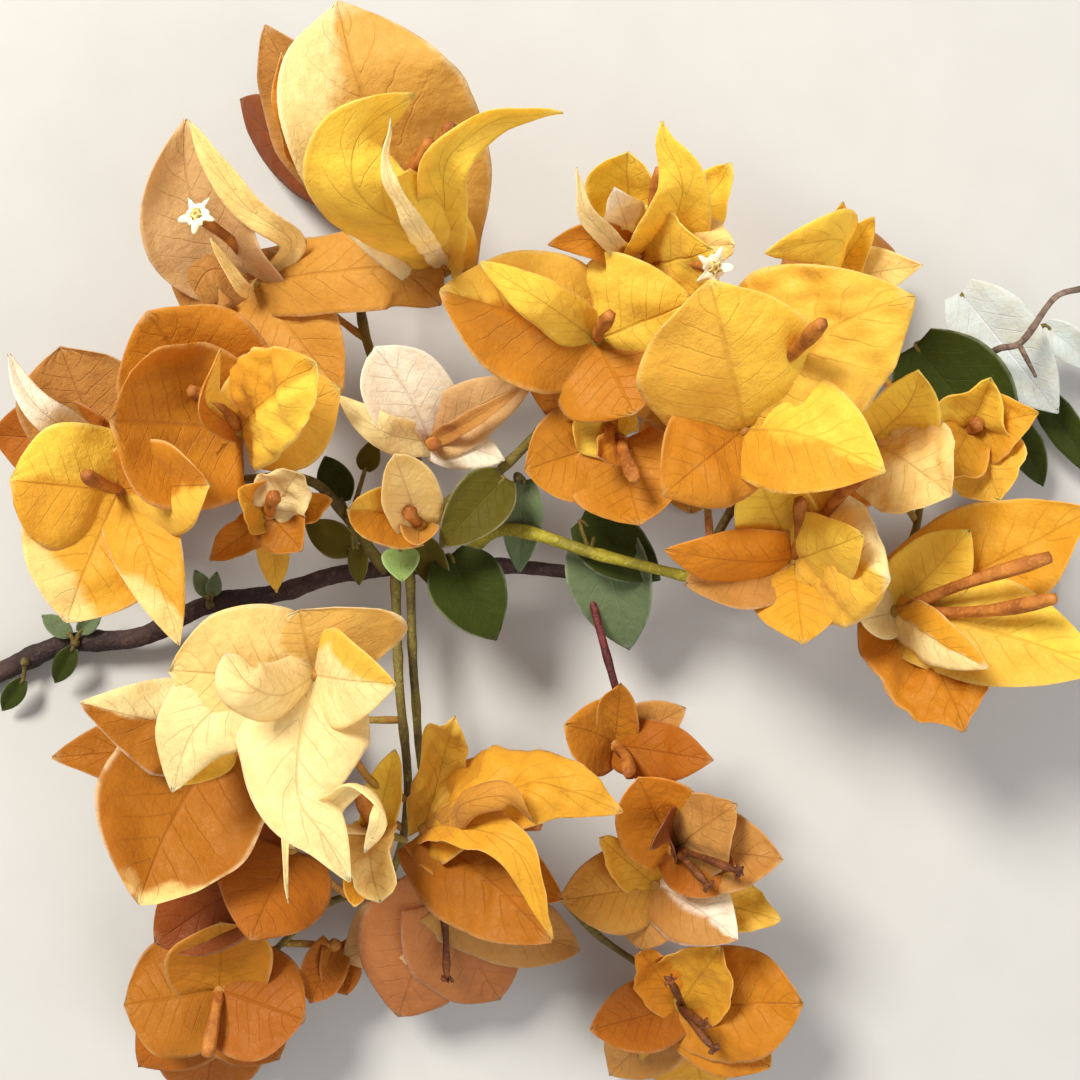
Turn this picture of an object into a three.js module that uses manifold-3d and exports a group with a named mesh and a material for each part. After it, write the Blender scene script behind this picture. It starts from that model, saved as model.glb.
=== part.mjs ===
// A cut branch of a yellow-orange bougainvillea in full bloom, lying down.
// Millimetres, +Z up. It lies on z = 0, and the origin is under the middle of its box.
import * as THREE from "three";
import { mergeVertices } from "three/addons/utils/BufferGeometryUtils.js";
import Module from "manifold-3d";

const wasm = await Module();
wasm.setup();

// Places are given as an eye above the branch sees them: x to the right and y up, at their
// true size on a level plane at half the branch's height, then the real height above the surface.
const EYE_HEIGHT = 345;
const TRUE_HEIGHT = 45;
const MIDDLE = [3.65, 8.55]; // where the eye looks, from the origin

const CUT_X = MIDDLE[0] - 134; // the flat face where the branch was cut off
const STEM_RADII = [2.4, 2.3, 2.1, 1.8, 1.4]; // evenly along it, from the cut
const BRACT_THICK = 0.7;
const LEAF_THICK = 0.6;
const CLEARANCE = 0.42; // between sub-parts that touch
const SMOOTHINGS = [0.15, 0.13, 0.11, 0.17, 0.09, 0.07, 0.05]; // how far a face may move where slivers merge
const CORNER_GAP = 0.0001; // corners of a sub-part are at least this far apart
const STALK_RADIUS = 0.85;
const TWIG_RADII = [0.8, 0.6]; // at its foot and at its end
const SPUR_RADII = [0.6, 0.5];
const KNOB_RADIUS = 1.7; // the swelling that carries the three bracts of a bloom
const NODE_RADIUS = 1.2; // the swelling that carries a spray of leaves
const FLORET_RADII = [0.7, 1.2, 1.6]; // foot, waist and mouth of a floret's tube
const PETIOLE_RADII = [0.6, 0.5];
const PETIOLE_OVERLAP = 0.12; // how far a leaf's stalk runs into the leaf, of its length
const LEAF_BEND = 25; // degrees that a leaf's edges turn up and its tip turns down
const STEM_STEP = 9; // the length of a stem's facets
const STALK_STEP = 14;
const STEM_SIDES = 8; // the facets around it
const SHOOT_SIDES = 6;
const SPUR_SIDES = 5;
const STALK_SIDES = 4;
const CUT_BLOCK = 60; // what is taken off past the cut

const WIDEST_SHARE = 0.36; // where along its length a blade is widest
const FOOT_SHARE = 0.12; // how wide it is where it joins the stalk, of its widest
const TIP_SHARE = 0.05; // the blunt end of its tip, of its width
const TIP_POWER = 2.5; // how full a blade stays towards its tip
const BROAD = 23; // a blade wider than this has one more row of faces across it
const FACES_ALONG = 3;
const FACES_ACROSS = 2;
const STRAIGHT = 1e-3; // the least bend of a blade, in radians
const WELD = 1e-4; // points nearer than this are one

const material = (color, roughness) => new THREE.MeshStandardMaterial({ color, roughness, metalness: 0 });
const BARK = material("#3d2b26", 0.9);
const GREEN_STEM = material("#77782e", 0.7);
const RED_STEM = material("#5c1d22", 0.7);
const GOLD = material("#f2b53a", 0.75);
const PEACH = material("#e9b672", 0.75);
const CREAM = material("#f3dfae", 0.75);
const AMBER = material("#d8871f", 0.75);
const LEAF_GREEN = material("#2f4f22", 0.55);

const degrees = THREE.MathUtils.degToRad;
const mix = THREE.MathUtils.lerp;

function seen([x, y, height]) {
  const scale = (EYE_HEIGHT - height) / (EYE_HEIGHT - TRUE_HEIGHT);
  return new THREE.Vector3(x * scale + MIDDLE[0], y * scale + MIDDLE[1], height);
}

// A three.js geometry as a closed solid
function solidOf(geometry) {
  geometry.deleteAttribute("normal");
  geometry.deleteAttribute("uv");
  const merged = mergeVertices(geometry, WELD);
  return new wasm.Manifold(
    new wasm.Mesh({
      numProp: 3,
      vertProperties: merged.attributes.position.array,
      triVerts: new Uint32Array(merged.index.array),
    }),
  );
}

// Each point of a geometry moved to where shape(x, y, z) puts it
function reshape(geometry, shape) {
  const position = geometry.getAttribute("position");
  for (let i = 0; i < position.count; i += 1) {
    const point = shape(position.getX(i), position.getY(i), position.getZ(i));
    position.setXYZ(i, point.x, point.y, point.z);
  }
  return geometry;
}

// Half the width of a blade, of its widest, at a share of its length
function halfWidth(share, widest) {
  if (share < widest) {
    return 1 - (1 - FOOT_SHARE) * (1 - share / widest) ** 2;
  }
  const past = (share - widest) / (1 - widest);
  return Math.max(1 - past ** TIP_POWER, TIP_SHARE);
}

// A bract or a leaf: its midrib runs on an arc from base to tip, and it is cupped across.
// With no roll it faces the eye; a positive roll turns its right edge away, curl and cup bend
// its tip and its edges at the eye, and bow moves its middle to the left. All four are degrees.
function blade(base, tip, form) {
  const { width, roll = 0, cup = 0, curl = 0, bow = 0, widest = WIDEST_SHARE, thick = BRACT_THICK } = form;
  const rise = tip.clone().sub(base);
  const length = rise.length();
  rise.normalize();
  const face = new THREE.Vector3(MIDDLE[0], MIDDLE[1], EYE_HEIGHT).sub(base).normalize();
  face.addScaledVector(rise, -face.dot(rise)).normalize().applyAxisAngle(rise, degrees(roll));
  const side = rise.clone().cross(face);
  const bend = degrees(curl) || STRAIGHT;
  const lean = degrees(bow) || STRAIGHT;
  const cross = degrees(cup) || STRAIGHT;
  const arc = (angle, share) => (Math.cos(angle * (share - 0.5)) - Math.cos(angle / 2)) / Math.sin(angle / 2);
  const across = width > BROAD ? FACES_ACROSS + 1 : FACES_ACROSS;
  return (grow) =>
    solidOf(
      reshape(new THREE.BoxGeometry(1, 1, 1, across, FACES_ALONG, 1), (x, y, z) => {
        const share = y + 0.5;
        const turn = bend * (share - 0.5);
        const forward = (length / 2) * (Math.sin(turn) / Math.sin(bend / 2) + 1);
        const tangent = rise.clone().multiplyScalar(Math.cos(turn)).addScaledVector(face, Math.sin(turn));
        const normal = face.clone().multiplyScalar(Math.cos(turn)).addScaledVector(rise, -Math.sin(turn));
        const half = (width / 2) * halfWidth(share, widest) + grow;
        const round = (2 * x * half * cross) / width;
        const point = base.clone().addScaledVector(rise, forward);
        point.addScaledVector(face, (-length / 2) * arc(bend, share));
        point.addScaledVector(side, (-length / 2) * arc(lean, share) + (width / cross) * Math.sin(round));
        point.addScaledVector(normal, (width / cross) * (1 - Math.cos(round)));
        point.addScaledVector(tangent, grow * 2 * y);
        point.z = Math.max(point.z, thick / 2);
        const out = normal.multiplyScalar(Math.cos(round)).addScaledVector(side, -Math.sin(round));
        return point.addScaledVector(out, 2 * z * (thick / 2 + grow));
      }),
    );
}

// A stem, stalk or tube through the points, with a radius at each, evenly between them
function limb(points, radii, sides, stepLength = STEM_STEP) {
  const curve = new THREE.CatmullRomCurve3(points);
  const steps = Math.max(points.length - 1, Math.round(curve.getLength() / stepLength));
  const frames = curve.computeFrenetFrames(steps);
  const radiusAt = (share) => {
    const place = share * (radii.length - 1);
    const from = Math.min(Math.floor(place), radii.length - 2);
    return mix(radii[from], radii[from + 1], place - from);
  };
  return (grow) =>
    solidOf(
      reshape(new THREE.CylinderGeometry(1, 1, 1, sides, steps), (x, y, z) => {
        const share = y + 0.5;
        const step = Math.round(share * steps);
        const radius = radiusAt(share) + grow;
        return curve
          .getPointAt(share)
          .addScaledVector(frames.normals[step], x * radius)
          .addScaledVector(frames.binormals[step], -z * radius)
          .addScaledVector(frames.tangents[step], grow * 2 * y);
      }),
    );
}

function knob(centre, radius) {
  return (grow) => {
    const ball = new THREE.OctahedronGeometry(radius + grow);
    return solidOf(ball.translate(centre.x, centre.y, centre.z));
  };
}

const STEPS = [-1, 0, 1];
const NEAR_CELLS = STEPS.flatMap((x) => STEPS.flatMap((y) => STEPS.map((z) => [x, y, z])));

const branch = new THREE.Group();
const placed = [];

const apart = (a, b) => [0, 1, 2].some((axis) => a.min[axis] > b.max[axis] || a.max[axis] < b.min[axis]);

// Whether every two corners of a mesh are apart, so that it stays closed when its numbers are rounded
function cornersApart({ vertProperties }) {
  const cells = new Map();
  for (let i = 0; i < vertProperties.length; i += 3) {
    const corner = vertProperties.subarray(i, i + 3);
    const [x, y, z] = Array.from(corner, (number) => Math.floor(number / CORNER_GAP));
    for (const near of NEAR_CELLS) {
      const other = cells.get([x + near[0], y + near[1], z + near[2]].join());
      if (!other) continue;
      const gap = Math.hypot(...other.map((number, axis) => number - corner[axis]));
      if (gap < CORNER_GAP) return false;
    }
    cells.set([x, y, z].join(), Array.from(corner));
  }
  return true;
}

// The largest body of a solid, with its slivers merged
function cleaned(solid) {
  for (const smoothing of SMOOTHINGS) {
    const parts = solid.asOriginal().simplify(smoothing).decompose();
    const body = parts.reduce((most, part) => (part.volume() > most.volume() ? part : most));
    if (cornersApart(body.getMesh())) return body;
  }
  throw new Error("no smoothing keeps the corners apart");
}

// Fuse the pieces into one sub-part, cut clear of every sub-part made before it
function addPart(name, finish, pieces) {
  const fused = (grow) => pieces.map((piece) => piece(grow)).reduce((all, piece) => all.add(piece));
  const whole = fused(0);
  const bounds = whole.boundingBox();
  const cut = placed.filter((other) => !apart(bounds, other.bounds));
  const clear = cut.reduce((body, other) => body.subtract(other.grown), whole);
  const body = cleaned(clear);
  const grown = fused(CLEARANCE);
  placed.push({ grown, bounds: grown.boundingBox() });

  const { vertProperties, triVerts } = body.getMesh();
  const geometry = new THREE.BufferGeometry();
  geometry.setAttribute("position", new THREE.BufferAttribute(new Float32Array(vertProperties), 3));
  geometry.setIndex(new THREE.BufferAttribute(new Uint32Array(triVerts), 1));
  geometry.computeVertexNormals();
  const mesh = new THREE.Mesh(geometry, finish);
  mesh.name = name;
  branch.add(mesh);
}

// Woody stem, from the cut to where it thins out under the leaves
const MAIN_STEM = [
  [-124, -33, 2.3],
  [-108, -26.4, 3],
  [-95, -20.8, 5],
  [-80, -19.4, 7],
  [-66.4, -13, 9],
  [-51.6, -10.4, 12],
  [-40, -6.8, 14],
  [-12, -5, 18],
  [12, -7, 20],
];
addPart("main_stem", BARK, [
  (grow) => {
    const block = new THREE.BoxGeometry(CUT_BLOCK, CUT_BLOCK, CUT_BLOCK);
    const end = seen(MAIN_STEM[0]);
    block.translate(CUT_X - CUT_BLOCK / 2 - grow, end.y, end.z);
    return limb(MAIN_STEM.map(seen), STEM_RADII, STEM_SIDES)(grow).subtract(solidOf(block));
  },
]);

// Shoots: the radii at the foot and at the end, then the places that each runs through
const SHOOTS = [
  {
    name: "shoot_up",
    radii: [1.2, 0.9],
    places: [[-24, -4, 17], [-20, 6, 28], [-8, 14, 34], [4, 26, 40], [9, 30, 42]],
  },
  {
    name: "shoot_right",
    radii: [1.5, 0.9],
    places: [[-16, -5, 18], [-8, 2, 27], [12, -3, 32], [28, -7, 32], [42, -10.4, 30], [52, -10, 28]],
  },
  {
    name: "shoot_upper_left",
    radii: [1.3, 0.9],
    places: [[-23, -5.6, 17], [-24, 8, 20], [-26, 22, 22], [-33, 35, 25], [-36, 48, 27], [-34, 62, 28]],
  },
  {
    name: "shoot_left",
    radii: [1.2, 0.8],
    places: [[-31, -6.2, 16], [-39, 5, 25], [-46, 11.8, 31], [-66, 12, 33], [-82, 14, 33]],
  },
  {
    name: "shoot_hanging",
    radii: [1.1, 0.7],
    places: [
      [-29, -6, 16],
      [-28.2, -28, 24],
      [-26.6, -54.4, 29],
      [-31, -68, 26],
      [-43, -73, 20],
      [-53, -82, 14],
    ],
  },
  {
    name: "shoot_low",
    radii: [1, 0.7],
    places: [
      [-26, -6, 17],
      [-25, -30, 18],
      [-22, -50, 19],
      [-10, -62, 20],
      [2.4, -69.8, 22],
      [10.8, -78.4, 22],
      [20, -85, 22],
    ],
  },
  {
    name: "shoot_red",
    finish: RED_STEM,
    radii: [0.9, 0.7],
    places: [[9, -6.8, 20], [13.6, -24, 24], [17, -36, 24], [22, -52, 24], [24, -64, 24]],
  },
  {
    name: "shoot_far_right",
    radii: [1, 0.7],
    places: [[49, -10, 28.6], [64, -11, 27], [74, -1, 28], [77, 12, 26], [84, 26, 20], [88, 38, 16]],
  },
  {
    name: "shoot_inner",
    radii: [1, 0.9],
    places: [[31, -7.8, 32], [36, 2, 38], [40, 10, 42], [40.4, 18, 46]],
  },
];
for (const { name, finish = GREEN_STEM, radii, places } of SHOOTS) {
  addPart(name, finish, [limb(places.map(seen), radii, SHOOT_SIDES)]);
}
const TWIG = [[88, 36, 16.6], [92.2, 38.4, 26], [95.8, 39.2, 28], [103.4, 48.8, 30], [108, 50.2, 30]];
const SPUR = [[95.8, 39.2, 28], [99.2, 32.6, 29]];
addPart("dead_twig", BARK, [
  limb(TWIG.map(seen), TWIG_RADII, SHOOT_SIDES),
  limb(SPUR.map(seen), SPUR_RADII, SPUR_SIDES),
]);

// Blooms: the shoot's place and any bends of the stalk, the base, then the bracts as
// tip x, y, height, width, roll, cup, curl, bow and where it is widest, and the florets as waist and mouth.
const BLOOMS = [
  {
    name: "bloom_top",
    finish: GOLD,
    stalk: [[-35, 56, 27.6], [-26, 55, 38]],
    base: [-19, 54, 46],
    bracts: [
      [-40.6, 107.6, 72, 35, 5, 40, 40, 26, 0.6],
      [-25, 89, 82, 24, -10, -90, -40, 160],
      [4.6, 85.4, 82, 12, 15, 60, -20, 134],
      [-27, 73, 68, 14, 0, -40, -30],
    ],
    florets: [
      [-24.4, 69, 66, -17.6, 82.8, 78],
      [-26.4, 72.2, 64, -22.4, 79, 74],
    ],
  },
  {
    name: "bloom_top_back",
    finish: AMBER,
    stalk: [[-34.3, 60, 28]],
    base: [-36, 70, 28],
    bracts: [
      [-55, 103, 44, 22, -20, -40, -30],
      [-60, 88, 0, 20, -40, -40, -30],
      [-22, 96, 0, 26, 20, -40, -40],
    ],
    florets: [],
  },
  {
    name: "bloom_peach",
    finish: PEACH,
    stalk: [[-34.6, 40, 25.6], [-46, 48, 28]],
    base: [-56.8, 51.6, 34],
    bracts: [
      [-70.8, 84.2, 52, 26, -20, 30, -30, 60],
      [-71, 45, 36, 17, 10, -30, -20, -60],
      [-19.8, 47, 44, 17, -10, -50, -20, 86],
      [-39.4, 29.5, 40, 24, 15, -30, -30],
      [-70.4, 84, 54, 9, 0, 40, -20, -75],
    ],
    florets: [
      [-60, 58, 40, -68.8, 65.2, 56],
      [-52, 56, 38, -47.6, 60, 42],
    ],
  },
  {
    name: "bloom_left",
    finish: AMBER,
    stalk: [[-60, 12, 32.8]],
    base: [-60, 22, 44],
    bracts: [
      [-85.4, 24, 62, 34, 0, 50, 50],
      [-78.6, 45.6, 56, 31, 0, 30, 30, 5],
      [-44.6, 35.4, 70, 20, -20, -60, -50],
      [-64, 38, 66, 8, 40, 70, 20, 60],
      [-40, 30.6, 48, 24, 10, -30, -30],
    ],
    florets: [[-64, 27, 54, -70, 30, 60]],
  },
  {
    name: "bloom_left_small",
    finish: GOLD,
    stalk: [[-50, 11.8, 32]],
    base: [-54, 5, 40],
    bracts: [
      [-47.6, -2, 46, 11, 0, 60, 30],
      [-66, -4, 40, 9, 0, 60, 30],
      [-48, 14, 52, 12, 0, 60, 30],
      [-60, 10, 50, 11, 20, 60, 30],
      [-42, 8, 44, 9, 0, 60, 30],
      [-52.6, -10.6, 30, 8, 0, 50, 20],
    ],
    florets: [
      [-54, 8, 46, -52, 12, 52],
      [-56, 6, 46, -60, 4, 50],
    ],
  },
  {
    name: "bloom_far_left",
    finish: GOLD,
    stalk: [[-78, 13.6, 33]],
    base: [-84, 10, 42],
    bracts: [
      [-106, 12, 54, 27, -10, -30, -40],
      [-95, -16.5, 46, 30, 5, -40, -30],
      [-66, 11, 60, 24, 10, -40, -40],
      [-72, -21.2, 54, 15, 20, -50, -30, 20],
    ],
    florets: [[-87, 11, 50, -91, 13, 57]],
  },
  {
    name: "bloom_far_left_high",
    finish: CREAM,
    stalk: [[-81, 14, 33]],
    base: [-88, 19, 37],
    bracts: [
      [-107.6, 36, 48, 17, 20, 30, -20, 15],
      [-96, 38.6, 44, 26, -10, 30, 20],
      [-110, 21, 30, 16, -10, 30, 20],
    ],
    florets: [],
  },
  {
    name: "bloom_cream",
    finish: CREAM,
    stalk: [[-25.3, 18, 21.6]],
    base: [-22, 19.4, 30],
    bracts: [
      [-33, 38.6, 44, 20, 0, 40, -30, -20],
      [-40.6, 29, 40, 9, 10, 50, -20, 40],
      [-1, 32, 44, 13, 0, 40, -20, 20],
      [-7, 16, 38, 10, 0, -30, -20, 20],
    ],
    florets: [[-21.6, 19.4, 38, -21, 19, 46]],
  },
  {
    name: "bloom_young",
    finish: AMBER,
    stalk: [[-20.6, 4.6, 26.6]],
    base: [-24, 3, 36],
    bracts: [
      [-38.4, 6, 47, 13, 0, 60, 30, -20],
      [-29, 17, 50, 12, 10, 60, 20],
      [-24.4, -1, 44, 7, 0, 60, 20],
    ],
    florets: [[-25, 5, 42, -27, 7, 49]],
  },
  {
    name: "bloom_middle",
    finish: GOLD,
    stalk: [[8, 29, 41.6]],
    base: [11.4, 40, 50],
    bracts: [
      [-20, 50, 62, 27, 0, -30, -30],
      [31, 48, 60, 30, 10, -40, -30],
      [19, 25, 56, 27, 0, -40, -20],
      [2, 24, 46, 20, 0, -40, -20],
    ],
    florets: [[12, 42, 58, 14, 45, 66]],
  },
  {
    name: "bloom_middle_high",
    finish: GOLD,
    stalk: [[8.4, 29.4, 41.8], [14, 44, 40]],
    base: [20, 55, 46],
    bracts: [
      [17.6, 77.4, 64, 19, -20, 60, 30, 25],
      [24.4, 83.8, 76, 15, 10, 50, -20, -85],
      [37.4, 75, 66, 11, -20, 60, 20, -20],
      [34.5, 58, 62, 24, 20, -40, -30],
      [7.4, 74.6, 68, 6, 0, 50, 10, 40],
      [1.6, 59, 58, 9, 0, 40, 20, -40],
      [39, 59, 67, 14, 0, 60, 20, 20],
    ],
    florets: [
      [22, 62, 56, 24, 74, 68],
      [27, 56, 56, 35, 54.4, 68],
    ],
  },
  {
    name: "bloom_middle_low",
    finish: AMBER,
    stalk: [[3, 25, 39.4]],
    base: [16, 20, 44],
    bracts: [
      [-3, 14, 48, 20, 0, 40, 30],
      [20, 3, 48, 24, 0, 40, 30],
      [8, 28, 52, 14, 0, 70, 40],
    ],
    florets: [[17, 17, 50, 19, 12, 56]],
  },
  {
    name: "bloom_right",
    finish: GOLD,
    stalk: [[40.4, 17, 45.6]],
    base: [41, 22, 54],
    bracts: [
      [75, 48.8, 76, 39, -10, -40, -30, 50],
      [34, 52, 78, 36, 0, -40, -30],
      [69, 17.6, 78, 27, -10, -40, -40, 30],
      [24.6, 9, 62, 22, 0, -40, -30],
    ],
    florets: [[48, 36, 76, 56.4, 43.4, 85]],
  },
  {
    name: "bloom_right_side",
    finish: PEACH,
    stalk: [[75, 4, 27.4]],
    base: [66, 20, 44],
    bracts: [
      [82, 9, 58, 21, 0, 40, -20, 10],
      [75.6, 33.8, 66, 17, 0, 40, 20, -45],
      [56, 6, 40, 18, 0, -40, -20],
    ],
    florets: [],
  },
  {
    name: "bloom_right_back",
    finish: AMBER,
    stalk: [[79, 17, 24.2], [68, 34, 28]],
    base: [58, 52, 34],
    bracts: [
      [66.6, 64.4, 52, 11, 0, 50, 20],
      [76.4, 55, 50, 12, 0, 50, 20],
      [60.6, 67.6, 46, 11, 0, 50, 20],
      [48, 54, 4, 18, 0, -40, -30],
      [70, 50, 2, 24, 0, -40, -30],
      [45, 57.4, 64, 13, 0, -40, -30, -40],
    ],
    florets: [],
  },
  {
    name: "bloom_right_low",
    finish: GOLD,
    stalk: [[46, -10.3, 29.4]],
    base: [51, -4, 38],
    bracts: [
      [43, 13.6, 56, 18, 0, 50, 30],
      [64.6, 1, 66, 17, 10, -40, -20],
      [70, -8, 62, 27, 10, -50, -40, 30],
      [25, -2, 54, 14, -30, -80, -30],
      [29, -9, 46, 17, 20, 50, 20],
      [52.6, -20.8, 50, 20, 0, -40, -20],
      [60, 11, 52, 20, 0, -40, -20],
    ],
    florets: [
      [56, 2, 50, 60, 8, 58],
      [52, 2, 48, 52, 8, 55],
    ],
  },
  {
    name: "bloom_star",
    finish: AMBER,
    stalk: [[80, 18, 23.6]],
    base: [86, 22, 34],
    bracts: [
      [90.2, 32.6, 46, 17, 0, 40, -20],
      [99.4, 25.4, 46, 17, 0, 40, -20],
      [92, 8, 42, 17, 0, 50, 20],
      [80, 12, 46, 12, 0, 50, 20],
    ],
    florets: [[87, 23, 40, 88, 25, 47]],
  },
  {
    name: "bloom_far_right",
    finish: GOLD,
    stalk: [[66, -9.6, 27]],
    base: [71, -14.4, 34],
    bracts: [
      [110, 6, 52, 27, -10, 30, 30],
      [113, -26, 54, 22, 0, -30, -30, 15],
      [84.6, -37.4, 48, 25, 0, 50, 30, 25],
      [64, -16, 42, 11, 0, 60, 20],
      [89.6, -25.6, 58, 11, 20, -50, -30],
      [86, 2, 46, 17, 0, 40, 20],
    ],
    florets: [
      [84, -9, 48, 102, -3.4, 60],
      [90, -14, 50, 103, -11.6, 60],
    ],
  },
  {
    name: "bloom_front",
    finish: CREAM,
    stalk: [[-26.8, -52, 28.6], [-35, -46.8, 48]],
    base: [-45, -27, 58],
    bracts: [
      [-37.8, -71, 70, 28, 0, -50, -50, -35],
      [-28.4, -28.4, 76, 23, 10, -40, -40, 20],
      [-74, -26, 66, 27, -10, -50, -50],
      [-48, -14, 62, 38, 0, -50, -50],
      [-73, -50, 62, 24, 0, -50, -30, -20],
    ],
    florets: [],
  },
  {
    name: "bloom_front_left",
    finish: AMBER,
    stalk: [[-27, -58, 28.6], [-46, -46, 34]],
    base: [-63, -40, 40],
    bracts: [
      [-79, -71.6, 54, 35, 0, 40, 40, -22],
      [-92, -32.6, 54, 20, 0, -40, -30],
      [-97.6, -43.4, 42, 17, 10, 40, 30],
      [-73, -49, 62, 12, 0, -40, -30],
    ],
    florets: [],
  },
  {
    name: "bloom_front_low",
    finish: AMBER,
    stalk: [[-38, -71.6, 22]],
    base: [-50, -62, 30],
    bracts: [
      [-58, -80, 44, 25, 0, -40, -30],
      [-82, -77, 28, 18, 0, 40, 20],
      [-72, -60, 2, 24, 0, -40, -30],
    ],
    florets: [],
  },
  {
    name: "bloom_curls",
    finish: GOLD,
    stalk: [[-27, -60, 28.6]],
    base: [-33, -58, 42],
    bracts: [
      [-38, -46.6, 76, 6, 0, 80, -30],
      [-30, -70, 58, 12, 0, 80, 30],
      [-37, -73, 64, 12, 0, 80, 40],
      [-29, -42, 48, 9, 0, 60, 30],
    ],
    florets: [[-34, -55, 50, -37, -50, 58]],
  },
  {
    name: "bloom_low_middle",
    finish: GOLD,
    stalk: [[-20, -54, 19.4]],
    base: [-23, -58, 38],
    bracts: [
      [16.6, -54.4, 62, 20, -20, -60, -30, 75],
      [2.4, -80.4, 60, 24, 10, -40, -30, 15],
      [-17, -35, 54, 12, 0, 60, 20],
      [5, -72, 50, 16, 0, 30, -20],
    ],
    florets: [
      [-12, -56, 46, 0, -57, 52],
      [-14, -58, 44, -4, -62, 50],
    ],
  },
  {
    name: "bloom_tan",
    finish: PEACH,
    stalk: [[-14, -59, 19.8]],
    base: [-20, -72, 26],
    bracts: [
      [-28.4, -95.4, 16, 29, 0, -40, -30],
      [-8, -92, 16, 27, 0, -40, -30],
      [-39, -84, 14, 18, 0, -40, -30],
      [8, -82, 16, 18, 0, -40, -30],
    ],
    florets: [
      [-19, -77, 27, -18.6, -88, 29],
      [-13, -73, 30, -10, -79, 34],
    ],
  },
  {
    name: "bloom_low_right_a",
    finish: AMBER,
    stalk: [[17, -36, 24]],
    base: [15, -41, 30],
    bracts: [
      [16.2, -28.4, 42, 10, 0, 50, 20],
      [29, -33.6, 36, 12, 0, 50, 20],
      [34.6, -44, 44, 13, 0, -40, -20],
      [5, -37, 40, 17, 0, 40, -20, -20],
    ],
    florets: [[17, -43, 36, 18, -47, 43]],
  },
  {
    name: "bloom_low_right_b",
    finish: AMBER,
    stalk: [[22, -54, 24]],
    base: [26.6, -62, 34],
    bracts: [
      [19.6, -47.4, 48, 19, 0, 50, 20],
      [39, -53, 48, 18, 0, 40, -20],
      [48.6, -64, 46, 18, 0, 40, -20, 10],
      [40, -69, 44, 15, 0, 40, -20],
    ],
    florets: [
      [31, -63, 44, 40, -66.4, 52],
      [29, -64, 44, 33.8, -69.2, 50],
    ],
  },
  {
    name: "bloom_low_right_c",
    finish: PEACH,
    stalk: [[23.4, -61, 24]],
    base: [23, -69, 28],
    bracts: [
      [4, -72, 36, 18, 0, -30, -20],
      [39.6, -80, 44, 17, 0, -40, -30, 15],
      [48, -76, 36, 14, 0, 50, 20],
      [12, -59.6, 42, 10, 0, 50, 20],
      [40, -66, 2, 22, 0, -40, -30],
      [20, -82, 30, 16, 0, -40, -30],
    ],
    florets: [],
  },
  {
    name: "bloom_bottom_left",
    finish: AMBER,
    stalk: [[-52.6, -81.6, 14.2]],
    base: [-64, -90, 18],
    bracts: [
      [-64, -76.6, 32, 23, 0, 30, 20],
      [-47, -96, 24, 24, 0, -40, -30],
      [-83, -93, 22, 26, 0, -40, -30],
      [-67, -111, 0, 26, 0, -40, -30],
      [-52, -104, 14, 20, 0, -40, -30],
      [-80, -105, 12, 20, 0, -40, -30],
    ],
    florets: [[-65, -95, 24, -66.6, -103.2, 28]],
  },
  {
    name: "bloom_bud",
    finish: AMBER,
    stalk: [[-51, -80.6, 14.8]],
    base: [-41, -81, 14],
    bracts: [
      [-46, -92.6, 20, 11, 0, 70, 20],
      [-38.6, -91, 16, 10, 0, 70, 20],
    ],
    florets: [],
  },
  {
    name: "bloom_bottom_right",
    finish: AMBER,
    stalk: [[20, -85, 22]],
    base: [28, -93, 22],
    bracts: [
      [36, -81.6, 36, 19, 0, 40, 20],
      [52.6, -92.6, 30, 24, 0, -30, -20],
      [46, -105.4, 26, 19, 0, -30, -20],
      [10, -98, 30, 16, 0, 40, 20],
      [14, -107, 6, 17, 0, -30, -20],
      [33, -111, 0, 24, 0, -40, -30],
    ],
    florets: [
      [29, -94, 30, 33, -97, 37],
      [28, -92, 30, 26, -88, 36],
      [30, -96, 30, 35, -102, 36],
    ],
  },
  {
    name: "bloom_under_right",
    finish: AMBER,
    stalk: [[34, 0, 36.6]],
    base: [32, 28, 24],
    bracts: [
      [16, 48, 0, 28, 0, -40, -30],
      [54, 36, 0, 28, 0, -40, -30],
      [30, 6, 0, 26, 0, -40, -30],
    ],
    florets: [],
  },
  {
    name: "bloom_under_left",
    finish: AMBER,
    stalk: [[-70, 12.6, 33]],
    base: [-76, 20, 20],
    bracts: [
      [-96, 28, 0, 26, 0, -40, -30],
      [-62, 38, 0, 26, 0, -40, -30],
      [-80, 0, 0, 26, 0, -40, -30],
    ],
    florets: [],
  },
  {
    name: "bloom_under_far_right",
    finish: AMBER,
    stalk: [[70, -6, 27.4]],
    base: [84, -10, 16],
    bracts: [
      [102, 2, 0, 24, 0, -40, -30],
      [96, -26, 0, 26, 0, -40, -30],
      [70, -24, 0, 22, 0, -40, -30],
    ],
    florets: [],
  },
  {
    name: "bloom_under_front",
    finish: AMBER,
    stalk: [[-27.8, -36, 25.6]],
    base: [-52, -36, 20],
    bracts: [
      [-74, -30, 0, 26, 0, -40, -30],
      [-44, -22, 0, 22, 0, -40, -30],
      [-52, -58, 0, 26, 0, -40, -30],
    ],
    florets: [],
  },
];

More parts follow.
